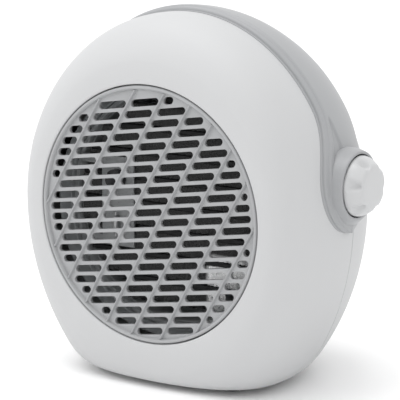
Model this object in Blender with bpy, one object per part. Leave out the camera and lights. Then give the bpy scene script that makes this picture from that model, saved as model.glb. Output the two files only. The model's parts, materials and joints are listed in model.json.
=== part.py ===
"""Round free-standing fan heater with a ceramic heating element.

Metres, +Z up, front towards -Y.  The origin is on the floor, under the middle of the body.
The body is a soft egg shape that is cut flat at its base.  A front and a rear shell meet in
an upright plane, and a grey band crosses the top and ends in a control knob on each side.
"""

import math

import bmesh
import bpy
from mathutils import Matrix, Vector

# ---------------------------------------------------------------- driving dimensions
GRILLE_R = 0.0880  # outer radius of the round front grille
HALF_WIDTH = 0.1198  # shell, centre to side, at its widest section
TOP_RISE = 0.1332  # grille centre up to the top of the shell
LOW_RISE = 0.1562  # grille centre down to where the lower curve would close
BASE_DROP = 0.1170  # grille centre down to the flat base
BASE_ROUND = 0.0130  # softness of the edge between sides and base
WIDEST_Y = 0.0478  # depth of the widest section, behind the rim of the grille
TAIL_Y = 0.1833  # depth where the rear curve would close
DEPTH = 0.1640  # front rim to the flat rear face
FRONT_POWER = 2.3  # fullness of the front rounding
TOP_FORWARD = 0.0060  # how far the top of the widest section leans to the front
REAR_POWER = 2.0  # fullness of the rear rounding
TAIL_DROP = 0.0176  # how far the rear curve closes below the grille centre
PARTING_Y = 0.0748  # depth of the plane where the two shells meet
WALL = 0.0025  # shell wall
TOUCH = 0.0003  # gap between pieces that touch
FOOT_H = 0.0040  # height of a foot below the base
FOOT_R = 0.0065
FOOT_X = 0.0480
FOOT_FRONT_Y = 0.0330
FOOT_REAR_Y = 0.0980

RIM_GAP = 0.0008  # dark line round the front grille
RIM_DEPTH = 0.0090  # length of the bore that holds the front grille
GRILLE_T = 0.0028  # plate of the front grille
DOME = 0.0023  # rise of the plate, from its edge to its middle
EDGE_SET = 0.0024  # how far the plate's edge lies behind the rim
EDGE_RING = 0.0030  # width of the raised ring round the plate
SLOT_ROWS = 24
SLOT_PITCH = 0.0075
SLOT_H = 0.0050
RIB_PITCH = 0.0242
RIB_LEAN = 0.599  # sideways run of a rib for each unit of rise
ROW_SLOPE = 0.154  # rise of a slot row for each unit to the right
SLOT_WEB = 0.0030  # plate left between two slots of a row
RIB_SHIFT = 0.0121  # sideways place of the first rib right of the middle
ROW_SHIFT = -0.0019  # rise of the middle of the slot rows
SLOT_EDGE = GRILLE_R - EDGE_RING - 0.0009  # slots stop inside this radius

BAND_FRONT = 0.0495  # depth of the band's front edge over the top
BAND_REAR = 0.1090  # depth of the band's rear edge over the top
BAND_T = 0.0036  # band thickness
KNOB_Y = 0.0655  # knob axis: depth
KNOB_RISE = 0.0240  # knob axis: height over the grille centre
LOBE_BLEND = 0.0750  # height over the grille centre where a round end meets the band
KNOB_R = 0.0204
KNOB_CAP_R = KNOB_R - 0.0046
BEZEL_BORE = KNOB_R + 0.0008
BEZEL_TOP_R = BEZEL_BORE + 0.0020
BEZEL_R = BEZEL_TOP_R + 0.0038  # foot of the ring round a knob
LOBE_R = BEZEL_R + 0.0073  # round end of the band
BEZEL_X = HALF_WIDTH + 0.0074  # outer face of that ring, from the middle plane
KNOB_X = BEZEL_X - 0.0016  # inner face of a knob
KNOB_TIP = KNOB_X + 0.0124  # outer face of a knob
KNOB_DIMPLES = 6
SHAFT_R = 0.0030
SHAFT_FIT = 0.0003
NECK_R = 0.0050  # threaded neck of a control
NUT_R = 0.0080
NUT_T = 0.0020
CONTROL_W = 0.0300  # body of a control, square
CONTROL_T = 0.0160
CONTROL_GAP = 0.0012  # between a control and the curved wall beside it

DUCT_R = GRILLE_R - 0.0015  # air duct behind the grille, outside
DUCT_T = 0.0020
DUCT_FRONT = 0.0160
DUCT_REAR = 0.0920
HEATER_Y = 0.0300  # front of the heating element's frame
HEATER_D = 0.0180
HEATER_RING = 0.0040  # width of the element's round frame
STACK_SHARE = 0.86  # height of the stack of fins, as a share of the frame's bore
STRIP_H = 0.0030  # ceramic strip in its aluminium channel
STRIP_COUNT = 7
FIN_SHEET = 0.0006
FIN_FOLD = 0.0044  # sideways run of one fold
TAB_L = 0.0090
TAB_STRIPS = (3, 4, 5)  # strips with a terminal tab
BOARD_X = -0.0445  # middle of the board that carries the thermal parts
BOARD_W = 0.0270
BOARD_H = 0.0630
BOARD_T = 0.0015

FAN_R = 0.0560
FAN_HUB_R = 0.0180
FAN_BLADES = 5
FAN_Y = 0.0620  # front of the fan
FAN_D = 0.0180
BLADE_T = 0.0014
BLADE_PITCH = 32.0
MOTOR_Y = 0.0960  # front of the stator
STATOR_D = 0.0200
STATOR_W = 0.0520
STATOR_BORE = 0.0140
ROTOR_GAP = 0.0005
BEARING_R = 0.0065
BEARING_L = 0.0060
BEARING_SET = 0.0120  # stator face to the far end of a bearing
BRACKET_T = 0.0030
SCREW_R = 0.0015
SCREW_HEAD_R = 0.0030
SCREW_HEAD_T = 0.0020

INTAKE_R = 0.0400  # opening in the rear face
INTAKE_FLANGE = 0.0470  # outer radius of the rear grille
INTAKE_T = 0.0024
INTAKE_SLOTS = 9
INTAKE_RISE = -0.0060  # rear grille, over the grille centre

TIP_Y = 0.1100  # tip-over switch: depth
TIP_W = 0.0160
TIP_H = 0.0200
PLUNGER_R = 0.0035
GLAND_R = 0.0060
GLAND_X = 0.0340
GLAND_RISE = -0.0580
GLAND_BORE = 0.0042
STEM_R = 0.0025

CENTRE_Z = FOOT_H + BASE_DROP  # height of the grille centre over the floor
CUT_SPARE = 0.0100  # how far a cutter reaches past the metal it cuts
CORNER_SPARE = 1.15  # margin over the upper corners of the controls
INNER_RING = 0.55  # middle ring of the grille plate as a share of its edge
LOBE_END = 0.985  # lowest row of a round end as a share of its radius
BAND_SIDE = 0.62  # thickness of the band at its edges as a share of BAND_T
COVER_START = 0.55  # where the cutter under the band starts, as a share of WIDEST_Y
FOLD_SPARE = 0.2  # least gap of a fold to a pack's corner, as a share of its height
STATOR_TOP = 0.75  # top of the stator as a share of its half width
LEG_SHARE = 0.26
COIL_SHARE = 0.46
HUB_INNER = 0.55  # inner rounding of the fan hub as a share of its radius
HUB_OUTER = 0.85
HUB_ROUND = 0.0015
BLADE_ROOT = 0.9  # root of a blade as a share of the hub radius
CHORD = 0.020  # least chord of a blade
CHORD_GAIN = 0.014
BLADE_SWEEP = 0.35  # radians from root to tip
BLADE_TAPER = 0.3
BAR_SHARE = 0.28  # half the height of an intake bar, as a share of the pitch
PLUNGER_TIP = 0.6  # flat of the plunger as a share of its radius
SHAFT_SOCKET = 0.0070  # depth of the blind hole in a knob
SHAFT_SINK = 0.0060  # how far a shaft runs into its control
NECK_SINK = 0.0020
WINDOW_SHARE = 0.50  # window of the stator that the winding passes, as shares of its half width
WINDOW_LOW = 0.74
WINDOW_HIGH = 0.62
SCREW_CROWN = 0.80  # top of a screw head as a share of its radius
SCREW_L = 0.0080
FOOT_BEVEL = 0.0010
STEM_L = 0.0050
KNOB_DIMPLE = 0.0026
FRONT_Y = min(0.0, EDGE_SET - DOME)  # foremost point: the rim or the middle of the grille
REAR_Y = DEPTH + INTAKE_T + TOUCH + SCREW_HEAD_T  # rearmost point: the intake screws
MIDDLE_Y = (FRONT_Y + REAR_Y) / 2
SIDES = 44  # facets round the shells
SIDE_SIGNS = (("left", -1), ("right", 1))
FEET = (
    ("foot_front_left", -FOOT_X, FOOT_FRONT_Y),
    ("foot_front_right", FOOT_X, FOOT_FRONT_Y),
    ("foot_rear_left", -FOOT_X, FOOT_REAR_Y),
    ("foot_rear_right", FOOT_X, FOOT_REAR_Y),
)
CONTROLS = (
    ("thermostat", 1, "thermostat_knob", "thermostat_shaft", "thermostat_body"),
    ("selector", -1, "selector_knob", "selector_shaft", "selector_switch_body"),
)

PALETTE = {
    "white_shell": ((0.80, 0.81, 0.82), 0.42, 0.0),
    "grey_trim": ((0.42, 0.43, 0.44), 0.45, 0.0),
    "grille_grey": ((0.50, 0.51, 0.52), 0.45, 0.0),
    "dark_plastic": ((0.035, 0.035, 0.038), 0.5, 0.0),
    "duct_grey": ((0.16, 0.16, 0.17), 0.6, 0.0),
    "frame_grey": ((0.35, 0.35, 0.34), 0.6, 0.0),
    "ceramic": ((0.62, 0.60, 0.56), 0.7, 0.0),
    "aluminium": ((0.80, 0.80, 0.80), 0.3, 1.0),
    "steel": ((0.55, 0.55, 0.56), 0.35, 1.0),
    "brass": ((0.70, 0.55, 0.28), 0.35, 1.0),
    "copper": ((0.55, 0.27, 0.14), 0.4, 1.0),
    "bronze": ((0.45, 0.30, 0.15), 0.45, 1.0),
    "rubber": ((0.03, 0.03, 0.03), 0.8, 0.0),
}


# ---------------------------------------------------------------- general helpers
def clear_scene():
    for obj in list(bpy.data.objects):
        bpy.data.objects.remove(obj, do_unlink=True)


def material(name):
    found = bpy.data.materials.get(name)
    if found:
        return found
    colour, rough, metal = PALETTE[name]
    found = bpy.data.materials.new(name)
    found.use_nodes = True
    shader = found.node_tree.nodes["Principled BSDF"]
    shader.inputs["Base Color"].default_value = (*colour, 1.0)
    shader.inputs["Roughness"].default_value = rough
    shader.inputs["Metallic"].default_value = metal
    found.diffuse_color = (*colour, 1.0)
    return found


def make_object(name, bm, finish, parent=None, smooth=True):
    """Turns a bmesh into an object; under a parent, its points become local to it."""
    bmesh.ops.recalc_face_normals(bm, faces=bm.faces)
    bmesh.ops.triangulate(bm, faces=bm.faces)
    mesh = bpy.data.meshes.new(name)
    bm.to_mesh(mesh)
    bm.free()
    obj = bpy.data.objects.new(name, mesh)
    bpy.context.scene.collection.objects.link(obj)
    if parent:
        mesh.transform(Matrix.Translation(-parent.location))
        obj.parent = parent
    if finish:
        mesh.materials.append(material(finish))
    if smooth:
        mesh.shade_smooth()
        mesh.set_sharp_from_angle(angle=math.radians(35))
    return obj


def joint_empty(name, place):
    empty = bpy.data.objects.new(name, None)
    empty.location = place
    bpy.context.scene.collection.objects.link(empty)
    return empty


def joined(bodies):
    """One bmesh that holds several separate bodies, each facing outwards."""
    whole = bmesh.new()
    for body in bodies:
        bmesh.ops.recalc_face_normals(body, faces=body.faces)
        mesh = bpy.data.meshes.new("body")
        body.to_mesh(mesh)
        body.free()
        whole.from_mesh(mesh)
        bpy.data.meshes.remove(mesh)
    return whole


def cut(obj, bodies, operation="DIFFERENCE"):
    """Cuts the bodies from an object, or adds them to it, in one Boolean."""
    cutter = make_object(f"{obj.name}_{operation.lower()}", joined(bodies), None)
    cutter.hide_render = True
    cutter.display_type = "WIRE"
    step = obj.modifiers.new(operation.title(), "BOOLEAN")
    step.operation = operation
    step.solver = "EXACT"
    step.object = cutter


def rings_mesh(rings, closed_loop):
    """Joins rings of equal length with quads; the stack closes on itself or gets two caps."""
    bm = bmesh.new()
    made = [[bm.verts.new(point) for point in ring] for ring in rings]
    count = len(made[0])
    last = len(made) if closed_loop else len(made) - 1
    for index in range(last):
        low, high = made[index], made[(index + 1) % len(made)]
        for side in range(count):
            after = (side + 1) % count
            bm.faces.new((low[side], low[after], high[after], high[side]))
    if not closed_loop:
        bm.faces.new(made[0])
        bm.faces.new(made[-1])
    return bm


def lathe(profile, axis, centre, sides=32, hollow=False):
    """Turns (along, radius) points about a row axis through centre; hollow profiles are loops."""
    rings = []
    for along, radius in profile:
        ring = []
        for side in range(sides):
            angle = math.tau * (side + 0.5) / sides
            across = (radius * math.cos(angle), radius * math.sin(angle))
            ring.append(oriented(axis, along, across, centre))
        rings.append(ring)
    return rings_mesh(rings, hollow)


def oriented(axis, along, across, centre):
    if axis == "X":
        offset = Vector((along, across[0], across[1]))
    elif axis == "Y":
        offset = Vector((across[0], along, across[1]))
    else:
        offset = Vector((across[0], across[1], along))
    return Vector(centre) + offset


def rod(axis, start, end, radius, centre, sides=20):
    return lathe([(start, radius), (end, radius)], axis, centre, sides)


def tube(axis, start, end, outer, inner, centre, sides=32):
    loop = [(start, inner), (start, outer), (end, outer), (end, inner)]
    return lathe(loop, axis, centre, sides, hollow=True)


def box(low, high):
    bm = bmesh.new()
    bmesh.ops.create_cube(bm, size=1.0)
    middle = (Vector(low) + Vector(high)) / 2
    size = Vector(high) - Vector(low)
    bmesh.ops.scale(bm, vec=size, verts=bm.verts)
    bmesh.ops.translate(bm, vec=middle, verts=bm.verts)
    return bm


def prism(outline, y_front, y_rear):
    """Extrudes an (x, z) outline along Y."""
    rings = [[Vector((x, y, z)) for x, z in outline] for y in (y_front, y_rear)]
    return rings_mesh(rings, False)


# ---------------------------------------------------------------- body surface
def soft_floor(height, level, radius):
    """Height held above a level, with a rounded change between the two."""
    above = height - level
    if above >= radius:
        return height
    if above <= -radius:
        return level
    return level + (above + radius) ** 2 / (4 * radius)


def body_point(angle, y, inset, lift=0.0):
    """Point of the body surface moved inwards by inset, at a depth and an angle from +X."""
    across, up = math.cos(angle), math.sin(angle)
    wide = HALF_WIDTH - inset
    tall = (TOP_RISE if up > 0 else LOW_RISE) - inset
    widest = WIDEST_Y - TOP_FORWARD * max(up, 0.0) ** 2
    if y <= widest:
        share = min(max((y - inset) / (widest - inset), 0.0), 1.0)
        blend = (1 - (1 - share) ** FRONT_POWER) ** (1 / FRONT_POWER)
        rim = GRILLE_R + RIM_GAP + max(inset, 0.0)
        x = across * (rim + (wide - rim) * blend)
        z = up * (rim + (tall - rim) * blend)
    else:
        share = min((y - widest) / (TAIL_Y - inset - widest), 1.0)
        shrink = (1 - share**REAR_POWER) ** (1 / REAR_POWER)
        x = across * wide * shrink
        z = -TAIL_DROP + (up * tall + TAIL_DROP) * shrink
    level = -BASE_DROP + inset + lift
    z = soft_floor(z, level, max(BASE_ROUND - inset, 0.004))
    return Vector((x, y, CENTRE_Z + z))


def body_ring(y, inset, sides=SIDES):
    return [body_point(math.tau * side / sides, y, inset) for side in range(sides)]


def round_ring(y, radius, rise=0.0, sides=SIDES):
    ring = []
    for side in range(sides):
        angle = math.tau * side / sides
        x, z = radius * math.cos(angle), radius * math.sin(angle)
        ring.append(Vector((x, y, CENTRE_Z + rise + z)))
    return ring


def front_stations(inset):
    """Depths from the rim to the widest section, closer together where the front turns."""
    reach = WIDEST_Y - inset
    stations = []
    for share in (0.0, 0.4, 0.65, 0.85, 1.0):
        stations.append(inset + reach * (1 - (1 - share**FRONT_POWER) ** (1 / FRONT_POWER)))
    return stations


# ---------------------------------------------------------------- shells
def front_housing():
    outer = [body_ring(y, 0.0) for y in front_stations(0.0)]
    outer.append(body_ring(PARTING_Y - TOUCH / 2, 0.0))
    inner = [body_ring(y, WALL) for y in front_stations(WALL)]
    inner.append(body_ring(PARTING_Y - TOUCH / 2, WALL))
    bore = GRILLE_R + RIM_GAP
    collar = [round_ring(RIM_DEPTH, bore + WALL), round_ring(RIM_DEPTH, bore)]
    rings = outer + inner[::-1] + collar
    shell = make_object("front_housing", rings_mesh(rings, True), "white_shell")
    holes = [neck_hole(sign) for _, sign in SIDE_SIGNS]
    holes += [foot_hole(x, y) for _, x, y in FEET if y < PARTING_Y]
    cut(shell, holes)


def rear_housing():
    start = PARTING_Y + TOUCH / 2
    depths = tuple(start + (DEPTH - start) * share for share in (0.0, 0.26, 0.5, 0.7, 0.86, 1.0))
    outer = [body_ring(y, 0.0) for y in depths]
    inner = [body_ring(y, WALL) for y in depths[:-1] + (DEPTH - WALL,)]
    opening = [round_ring(y, INTAKE_R, INTAKE_RISE) for y in (DEPTH, DEPTH - WALL)]
    rings = outer + opening + inner[::-1]
    shell = make_object("rear_housing", rings_mesh(rings, True), "white_shell")
    holes = [foot_hole(x, y) for _, x, y in FEET if y > PARTING_Y]
    holes.append(rod("Z", -0.01, 0.02, PLUNGER_R + SHAFT_FIT, (0, TIP_Y, 0), 16))
    place = (GLAND_X, DEPTH, CENTRE_Z + GLAND_RISE)
    holes.append(rod("Y", -0.02, 0.02, GLAND_R + TOUCH, place, 20))
    for x, z in intake_screw_places():
        holes.append(rod("Y", -0.02, 0.01, SCREW_R + TOUCH, (x, DEPTH, z), 10))
    cut(shell, holes)


# ---------------------------------------------------------------- front grille
def plate_y(radius):
    """Depth of the front of the grille plate at a radius."""
    share = min(radius / (GRILLE_R - EDGE_RING), 1.0)
    return EDGE_SET - DOME * (1 - share * share)


def pattern_point(along, level):
    """Grille place where the rib line at a sideways place meets the row at a level."""
    x = (along + RIB_LEAN * level) / (1 - RIB_LEAN * ROW_SLOPE)
    return x, level + ROW_SLOPE * x


def slot_outlines():
    """Parallelogram slots between the leaning ribs, clipped to the round plate."""
    slots = []
    for row in range(SLOT_ROWS):
        level = ROW_SHIFT + (row - (SLOT_ROWS - 1) / 2) * SLOT_PITCH
        for gap in range(-6, 5):
            left = RIB_SHIFT + gap * RIB_PITCH + SLOT_WEB / 2
            slot = clipped_slot(left, left + RIB_PITCH - SLOT_WEB, level)
            if slot:
                slots.append(slot)
    return slots


def clipped_slot(left, right, level):
    """Shortens a slot to the round edge; a stub shorter than its height is dropped."""
    half = SLOT_H / 2
    steps = 24
    inside = []
    for step in range(steps + 1):
        along = left + (right - left) * step / steps
        reach = max(math.hypot(*pattern_point(along, level + side)) for side in (-half, half))
        if reach < SLOT_EDGE:
            inside.append(along)
    if len(inside) < 2 or inside[-1] - inside[0] < SLOT_H:
        return None
    low, high = inside[0], inside[-1]
    return [
        pattern_point(low, level - half),
        pattern_point(high, level - half),
        pattern_point(high, level + half),
        pattern_point(low, level + half),
    ]


def front_grille():
    edge = GRILLE_R - EDGE_RING
    radii = (edge * INNER_RING, edge)
    front = [round_ring(plate_y(radius), radius) for radius in radii]
    ring = [(0.0, edge + 0.0008), (0.0, GRILLE_R), (plate_y(edge) + GRILLE_T, GRILLE_R)]
    front += [round_ring(y, radius) for y, radius in ring]
    back = [round_ring(plate_y(radius) + GRILLE_T, radius) for radius in radii]
    grille = make_object("front_grille", rings_mesh(front + back[::-1], False), "grille_grey")
    slots = bmesh.new()
    for outline in slot_outlines():
        rings = []
        for y in (-0.02, 0.03):
            rings.append([slots.verts.new((x, y, CENTRE_Z + z)) for x, z in outline])
        for side in range(4):
            after = (side + 1) % 4
            slots.faces.new((rings[0][side], rings[0][after], rings[1][after], rings[1][side]))
        slots.faces.new(rings[0])
        slots.faces.new(rings[1])
    cut(grille, [slots])


# ---------------------------------------------------------------- band, bezels and knobs
def band_edges(height):
    """Front and rear depth of the band at a height over the grille centre."""
    over = height - KNOB_RISE
    if over <= 0:
        half = math.sqrt(max(LOBE_R**2 - over**2, 0.0))
        return KNOB_Y - half, KNOB_Y + half
    share = min(over / (LOBE_BLEND - KNOB_RISE), 1.0)
    ease = share * share * (3 - 2 * share)
    front = (KNOB_Y - LOBE_R) * (1 - ease) + BAND_FRONT * ease
    rear = (KNOB_Y + LOBE_R) * (1 - ease) + BAND_REAR * ease
    return front, rear


def band_angles():
    """Angles round the body from the bottom of one round end to that of the other."""
    lowest = math.asin((KNOB_RISE - LOBE_R * LOBE_END) / LOW_RISE)
    knee = math.asin((KNOB_RISE + 0.004) / TOP_RISE)
    angles = [lowest + (knee - lowest) * (step / 7) ** 1.5 for step in range(7)]
    arch = 13
    angles += [knee + (math.pi / 2 - knee) * step / arch for step in range(arch + 1)]
    return angles + [math.pi - angle for angle in reversed(angles[:-1])]


def band_height(angle):
    up = math.sin(angle)
    return up * (TOP_RISE if up > 0 else LOW_RISE)


def carry_band():
    across = 5
    rings = []
    for angle in band_angles():
        front, rear = band_edges(band_height(angle))
        depths = [front + (rear - front) * step / across for step in range(across + 1)]
        top = []
        for step, y in enumerate(depths):
            bulge = BAND_T * (BAND_SIDE + (1 - BAND_SIDE) * math.sin(math.pi * step / across))
            top.append(body_point(angle, y, -TOUCH - bulge))
        under = [body_point(angle, y, -TOUCH) for y in depths]
        rings.append(top + under[::-1])
    band = make_object("carry_band", rings_mesh(rings, False), "grey_trim")
    cut(band, [neck_hole(sign) for _, sign in SIDE_SIGNS])


def neck_hole(sign):
    ends = (sign * (HALF_WIDTH - 3 * CUT_SPARE), sign * (HALF_WIDTH + 3 * CUT_SPARE))
    return rod("X", *ends, NECK_R + TOUCH, (0, KNOB_Y, CENTRE_Z + KNOB_RISE), 20)


def band_cover(inset):
    """Solid of the body grown over the band, which trims what stands on the band."""
    start = WIDEST_Y * COVER_START
    depths = [start + step * (BAND_REAR - start) / 7 for step in range(9)]
    rings = [body_ring(y, inset) for y in depths]
    return rings_mesh(rings, False)


def bezels():
    for side, sign in SIDE_SIGNS:
        inner_x = HALF_WIDTH - 0.016
        loop = [
            (sign * inner_x, BEZEL_BORE),
            (sign * inner_x, BEZEL_R),
            (sign * (HALF_WIDTH + 0.0005), BEZEL_R),
            (sign * (BEZEL_X - 0.0012), BEZEL_TOP_R + 0.0008),
            (sign * BEZEL_X, BEZEL_TOP_R),
            (sign * BEZEL_X, BEZEL_BORE),
        ]
        place = (0, KNOB_Y, CENTRE_Z + KNOB_RISE)
        bm = lathe(loop, "X", place, 40, hollow=True)
        bezel = make_object(f"{side}_bezel", bm, "grey_trim")
        cut(bezel, [band_cover(-2 * TOUCH - BAND_T)])


def knob_mesh(sign):
    """Round knob, narrower towards its flat cap, with finger dimples round its side."""
    rows = [
        (0.0, KNOB_R, 0.0),
        (0.18, KNOB_R, 0.2),
        (0.50, KNOB_R - 0.0008, 1.0),
        (0.80, (KNOB_R + KNOB_CAP_R) / 2, 0.6),
        (1.0, KNOB_CAP_R, 0.0),
    ]
    sides = 36
    rings = []
    for share, radius, depth in rows:
        x = sign * (KNOB_X + (KNOB_TIP - KNOB_X) * share)
        ring = []
        for side in range(sides):
            angle = math.tau * side / sides
            wave = max(math.cos(KNOB_DIMPLES * angle), 0.0)
            reach = radius - KNOB_DIMPLE * depth * wave
            across = (reach * math.cos(angle), reach * math.sin(angle))
            ring.append(oriented("X", x, across, (0, KNOB_Y, CENTRE_Z + KNOB_RISE)))
        rings.append(ring)
    return rings_mesh(rings, False)


def controls():
    place = (0, KNOB_Y, CENTRE_Z + KNOB_RISE)
    half = CONTROL_W / 2
    corners = [
        body_point(math.asin((KNOB_RISE + lift) / TOP_RISE), KNOB_Y + run, WALL).x
        for lift in (-half, half * CORNER_SPARE)
        for run in (-half, half)
    ]
    face_x = min(corners) - CONTROL_GAP
    level = math.asin((KNOB_RISE - NUT_R) / TOP_RISE)
    nut_x = body_point(level, KNOB_Y - NUT_R, -BAND_T - 2 * TOUCH).x + TOUCH
    for name, sign, knob, shaft, body in CONTROLS:
        axis = joint_empty(f"{name}_axis", Vector((sign * KNOB_X, KNOB_Y, CENTRE_Z + KNOB_RISE)))
        cap = make_object(knob, knob_mesh(sign), "white_shell", axis)
        socket_end = KNOB_X + SHAFT_SOCKET
        socket = rod("X", sign * (KNOB_X - CUT_SPARE), sign * socket_end, SHAFT_R + TOUCH, place, 16)
        cut(cap, [socket])
        bm = rod("X", sign * (face_x - SHAFT_SINK), sign * (socket_end - TOUCH), SHAFT_R, place, 16)
        make_object(shaft, bm, "steel", axis)
        low = (face_x - CONTROL_T, KNOB_Y - half, CENTRE_Z + KNOB_RISE - half)
        high = (face_x, KNOB_Y + half, CENTRE_Z + KNOB_RISE + half)
        if sign < 0:
            low, high = (-high[0], low[1], low[2]), (-low[0], high[1], high[2])
        bm = box(low, high)
        solid = make_object(body, bm, "dark_plastic", smooth=False)
        neck = rod("X", sign * (face_x - NECK_SINK), sign * (KNOB_X - TOUCH), NECK_R, place, 20)
        cut(solid, [neck], "UNION")
        bore_end = face_x - SHAFT_SINK - TOUCH
        bore = rod("X", sign * bore_end, sign * (KNOB_X + CUT_SPARE), SHAFT_R + SHAFT_FIT, place, 16)
        cut(solid, [bore])
        bm = rod("X", sign * nut_x, sign * (nut_x + NUT_T), NUT_R, place, 6)
        nut = make_object(f"{name}_nut", bm, "brass", smooth=False)
        ends = (sign * (nut_x - CUT_SPARE), sign * (nut_x + CUT_SPARE))
        cut(nut, [rod("X", *ends, NECK_R + TOUCH, place, 20)])


# ---------------------------------------------------------------- heating element
def air_duct():
    place = (0, 0, CENTRE_Z)
    bm = tube("Y", DUCT_FRONT, DUCT_REAR, DUCT_R, DUCT_R - DUCT_T, place, 48)
    make_object("air_duct", bm, "duct_grey")


def heater_bore():
    """Radius inside the element's round frame, which stands in the air duct."""
    return DUCT_R - DUCT_T - 2 * TOUCH - HEATER_RING


def heater_layout():
    """Heights of the fin packs and the ceramic strips, stacked inside the frame."""
    stack = 2 * heater_bore() * STACK_SHARE
    packs = STRIP_COUNT + 1
    pack_h = (stack - STRIP_COUNT * (STRIP_H + 2 * TOUCH)) / packs
    level = CENTRE_Z - stack / 2
    fins, strips = [], []
    for number in range(packs):
        fins.append((level, level + pack_h))
        level += pack_h + TOUCH
        if number < STRIP_COUNT:
            strips.append((level, level + STRIP_H))
            level += STRIP_H + TOUCH
    return fins, strips


def half_chord(low, high):
    """Half length of a level piece that fits in the round frame between two heights."""
    off = max(abs(low - CENTRE_Z), abs(high - CENTRE_Z))
    return math.sqrt((heater_bore() - TOUCH) ** 2 - off**2) - TOUCH


def heater_frame():
    bore = heater_bore()
    loop = [
        (HEATER_Y, bore),
        (HEATER_Y, bore + HEATER_RING),
        (HEATER_Y + HEATER_D, bore + HEATER_RING),
        (HEATER_Y + HEATER_D, bore),
    ]
    bm = lathe(loop, "Y", (0, 0, CENTRE_Z), 64, hollow=True)
    make_object("heater_frame", bm, "frame_grey")


def fin_outline(low, high):
    """Zig-zag sheet between two heights, as one closed outline."""
    reach = half_chord(low, high) * math.cos(math.pi / 64) - TOUCH
    folds = 2 * round(reach / FIN_FOLD)
    step = 2 * reach / folds
    limit = high - low
    slope = math.atan2(limit - FIN_SHEET, step)
    rise = FIN_SHEET / math.cos(slope)
    upper, lower = [], []
    for fold in range(folds + 1):
        x = -reach + fold * step
        if fold % 2 == 0:
            lower.append((x, low))
            upper.append((x, min(low + rise, low + (1 - FOLD_SPARE) * limit)))
        else:
            lower.append((x, max(high - rise, low + FOLD_SPARE * limit)))
            upper.append((x, high))
    return lower + upper[::-1]


def heating_element():
    fins, strips = heater_layout()
    y0, y1 = HEATER_Y + 0.002, HEATER_Y + HEATER_D - 0.002
    for number, (low, high) in enumerate(fins, 1):
        bm = prism(fin_outline(low, high), y0, y1)
        make_object(f"fin_pack_{number}", bm, "aluminium", smooth=False)
    for number, (low, high) in enumerate(strips, 1):
        reach = half_chord(low, high) * math.cos(math.pi / 64) - TOUCH
        bm = box((-reach, y0, low), (reach, y1, high))
        make_object(f"ceramic_strip_{number}", bm, "ceramic", smooth=False)
        if number in TAB_STRIPS:
            middle = (low + high) / 2
            low_corner = (reach - 0.0100, y1 + TOUCH, middle - 0.0004)
            tab = box(low_corner, (reach - 0.0037, y1 + TOUCH + TAB_L, middle + 0.0004))
            make_object(f"terminal_tab_{number}", tab, "brass", smooth=False)


def thermal_parts():
    """Board in front of the fins, with the cut-out and the fuse in the warm air."""
    rear = HEATER_Y - TOUCH
    front = rear - BOARD_T
    half_w, half_h = BOARD_W / 2, BOARD_H / 2
    bm = box((BOARD_X - half_w, front, CENTRE_Z - half_h), (BOARD_X + half_w, rear, CENTRE_Z + half_h))
    board = make_object("thermal_board", bm, "frame_grey", smooth=False)
    arms = []
    ring_x = -math.sqrt((heater_bore() + HEATER_RING / 2) ** 2 - half_h**2)
    for sign in (-1, 1):
        edge = CENTRE_Z + sign * half_h
        low, high = sorted((edge - sign * 0.0005, edge - sign * 0.0065))
        arms.append(box((ring_x, front + 0.0002, low), (BOARD_X, rear - 0.0002, high)))
    cut(board, arms, "UNION")
    place = (BOARD_X, front - TOUCH, CENTRE_Z + half_h / 2)
    profile = [(-0.0085, 0.0045), (-0.0050, 0.0045), (-0.0045, 0.0070), (0.0, 0.0070)]
    make_object("thermal_cutout", lathe(profile, "Y", place, 24), "dark_plastic")
    place = (BOARD_X, front - TOUCH - 0.0022, CENTRE_Z - half_h / 2)
    profile = [
        (-0.0085, 0.0008),
        (-0.0060, 0.0008),
        (-0.0055, 0.0022),
        (0.0055, 0.0022),
        (0.0060, 0.0008),
        (0.0085, 0.0008),
    ]
    make_object("thermal_fuse", lathe(profile, "Z", place, 16), "steel")


# ---------------------------------------------------------------- fan and motor
def fan_and_motor():
    middle = (0, 0, CENTRE_Z)
    axis = joint_empty("fan_axis", Vector((0, FAN_Y, CENTRE_Z)))
    fan(axis)
    bearing_front = MOTOR_Y - BEARING_SET
    bearing_rear = MOTOR_Y + STATOR_D + BEARING_SET - BEARING_L
    bm = rod("Y", FAN_Y + 0.004, bearing_rear + BEARING_L + 0.002, SHAFT_R, middle, 16)
    make_object("motor_shaft", bm, "steel", axis)
    bm = tube("Y", MOTOR_Y, MOTOR_Y + STATOR_D, STATOR_BORE - ROTOR_GAP, SHAFT_R + TOUCH, middle, 24)
    make_object("motor_rotor", bm, "aluminium", axis)
    for name, y in (("front_bearing", bearing_front), ("rear_bearing", bearing_rear)):
        bm = tube("Y", y, y + BEARING_L, BEARING_R, SHAFT_R + SHAFT_FIT, middle, 20)
        make_object(name, bm, "bronze")
    half = STATOR_W / 2
    stator_top = CENTRE_Z + half * STATOR_TOP
    stator_box = box((-half, MOTOR_Y, CENTRE_Z - half), (half, MOTOR_Y + STATOR_D, stator_top))
    stator = make_object("motor_stator", stator_box, "steel", smooth=False)
    bore = rod("Y", MOTOR_Y - 0.01, MOTOR_Y + STATOR_D + 0.01, STATOR_BORE, middle, 24)
    window = box(
        (-half * WINDOW_SHARE, MOTOR_Y - CUT_SPARE, CENTRE_Z - half * WINDOW_LOW),
        (half * WINDOW_SHARE, MOTOR_Y + STATOR_D + CUT_SPARE, CENTRE_Z - half * WINDOW_HIGH),
    )
    cut(stator, [bore, window])
    coil()
    brackets(bearing_front, bearing_rear)


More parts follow.
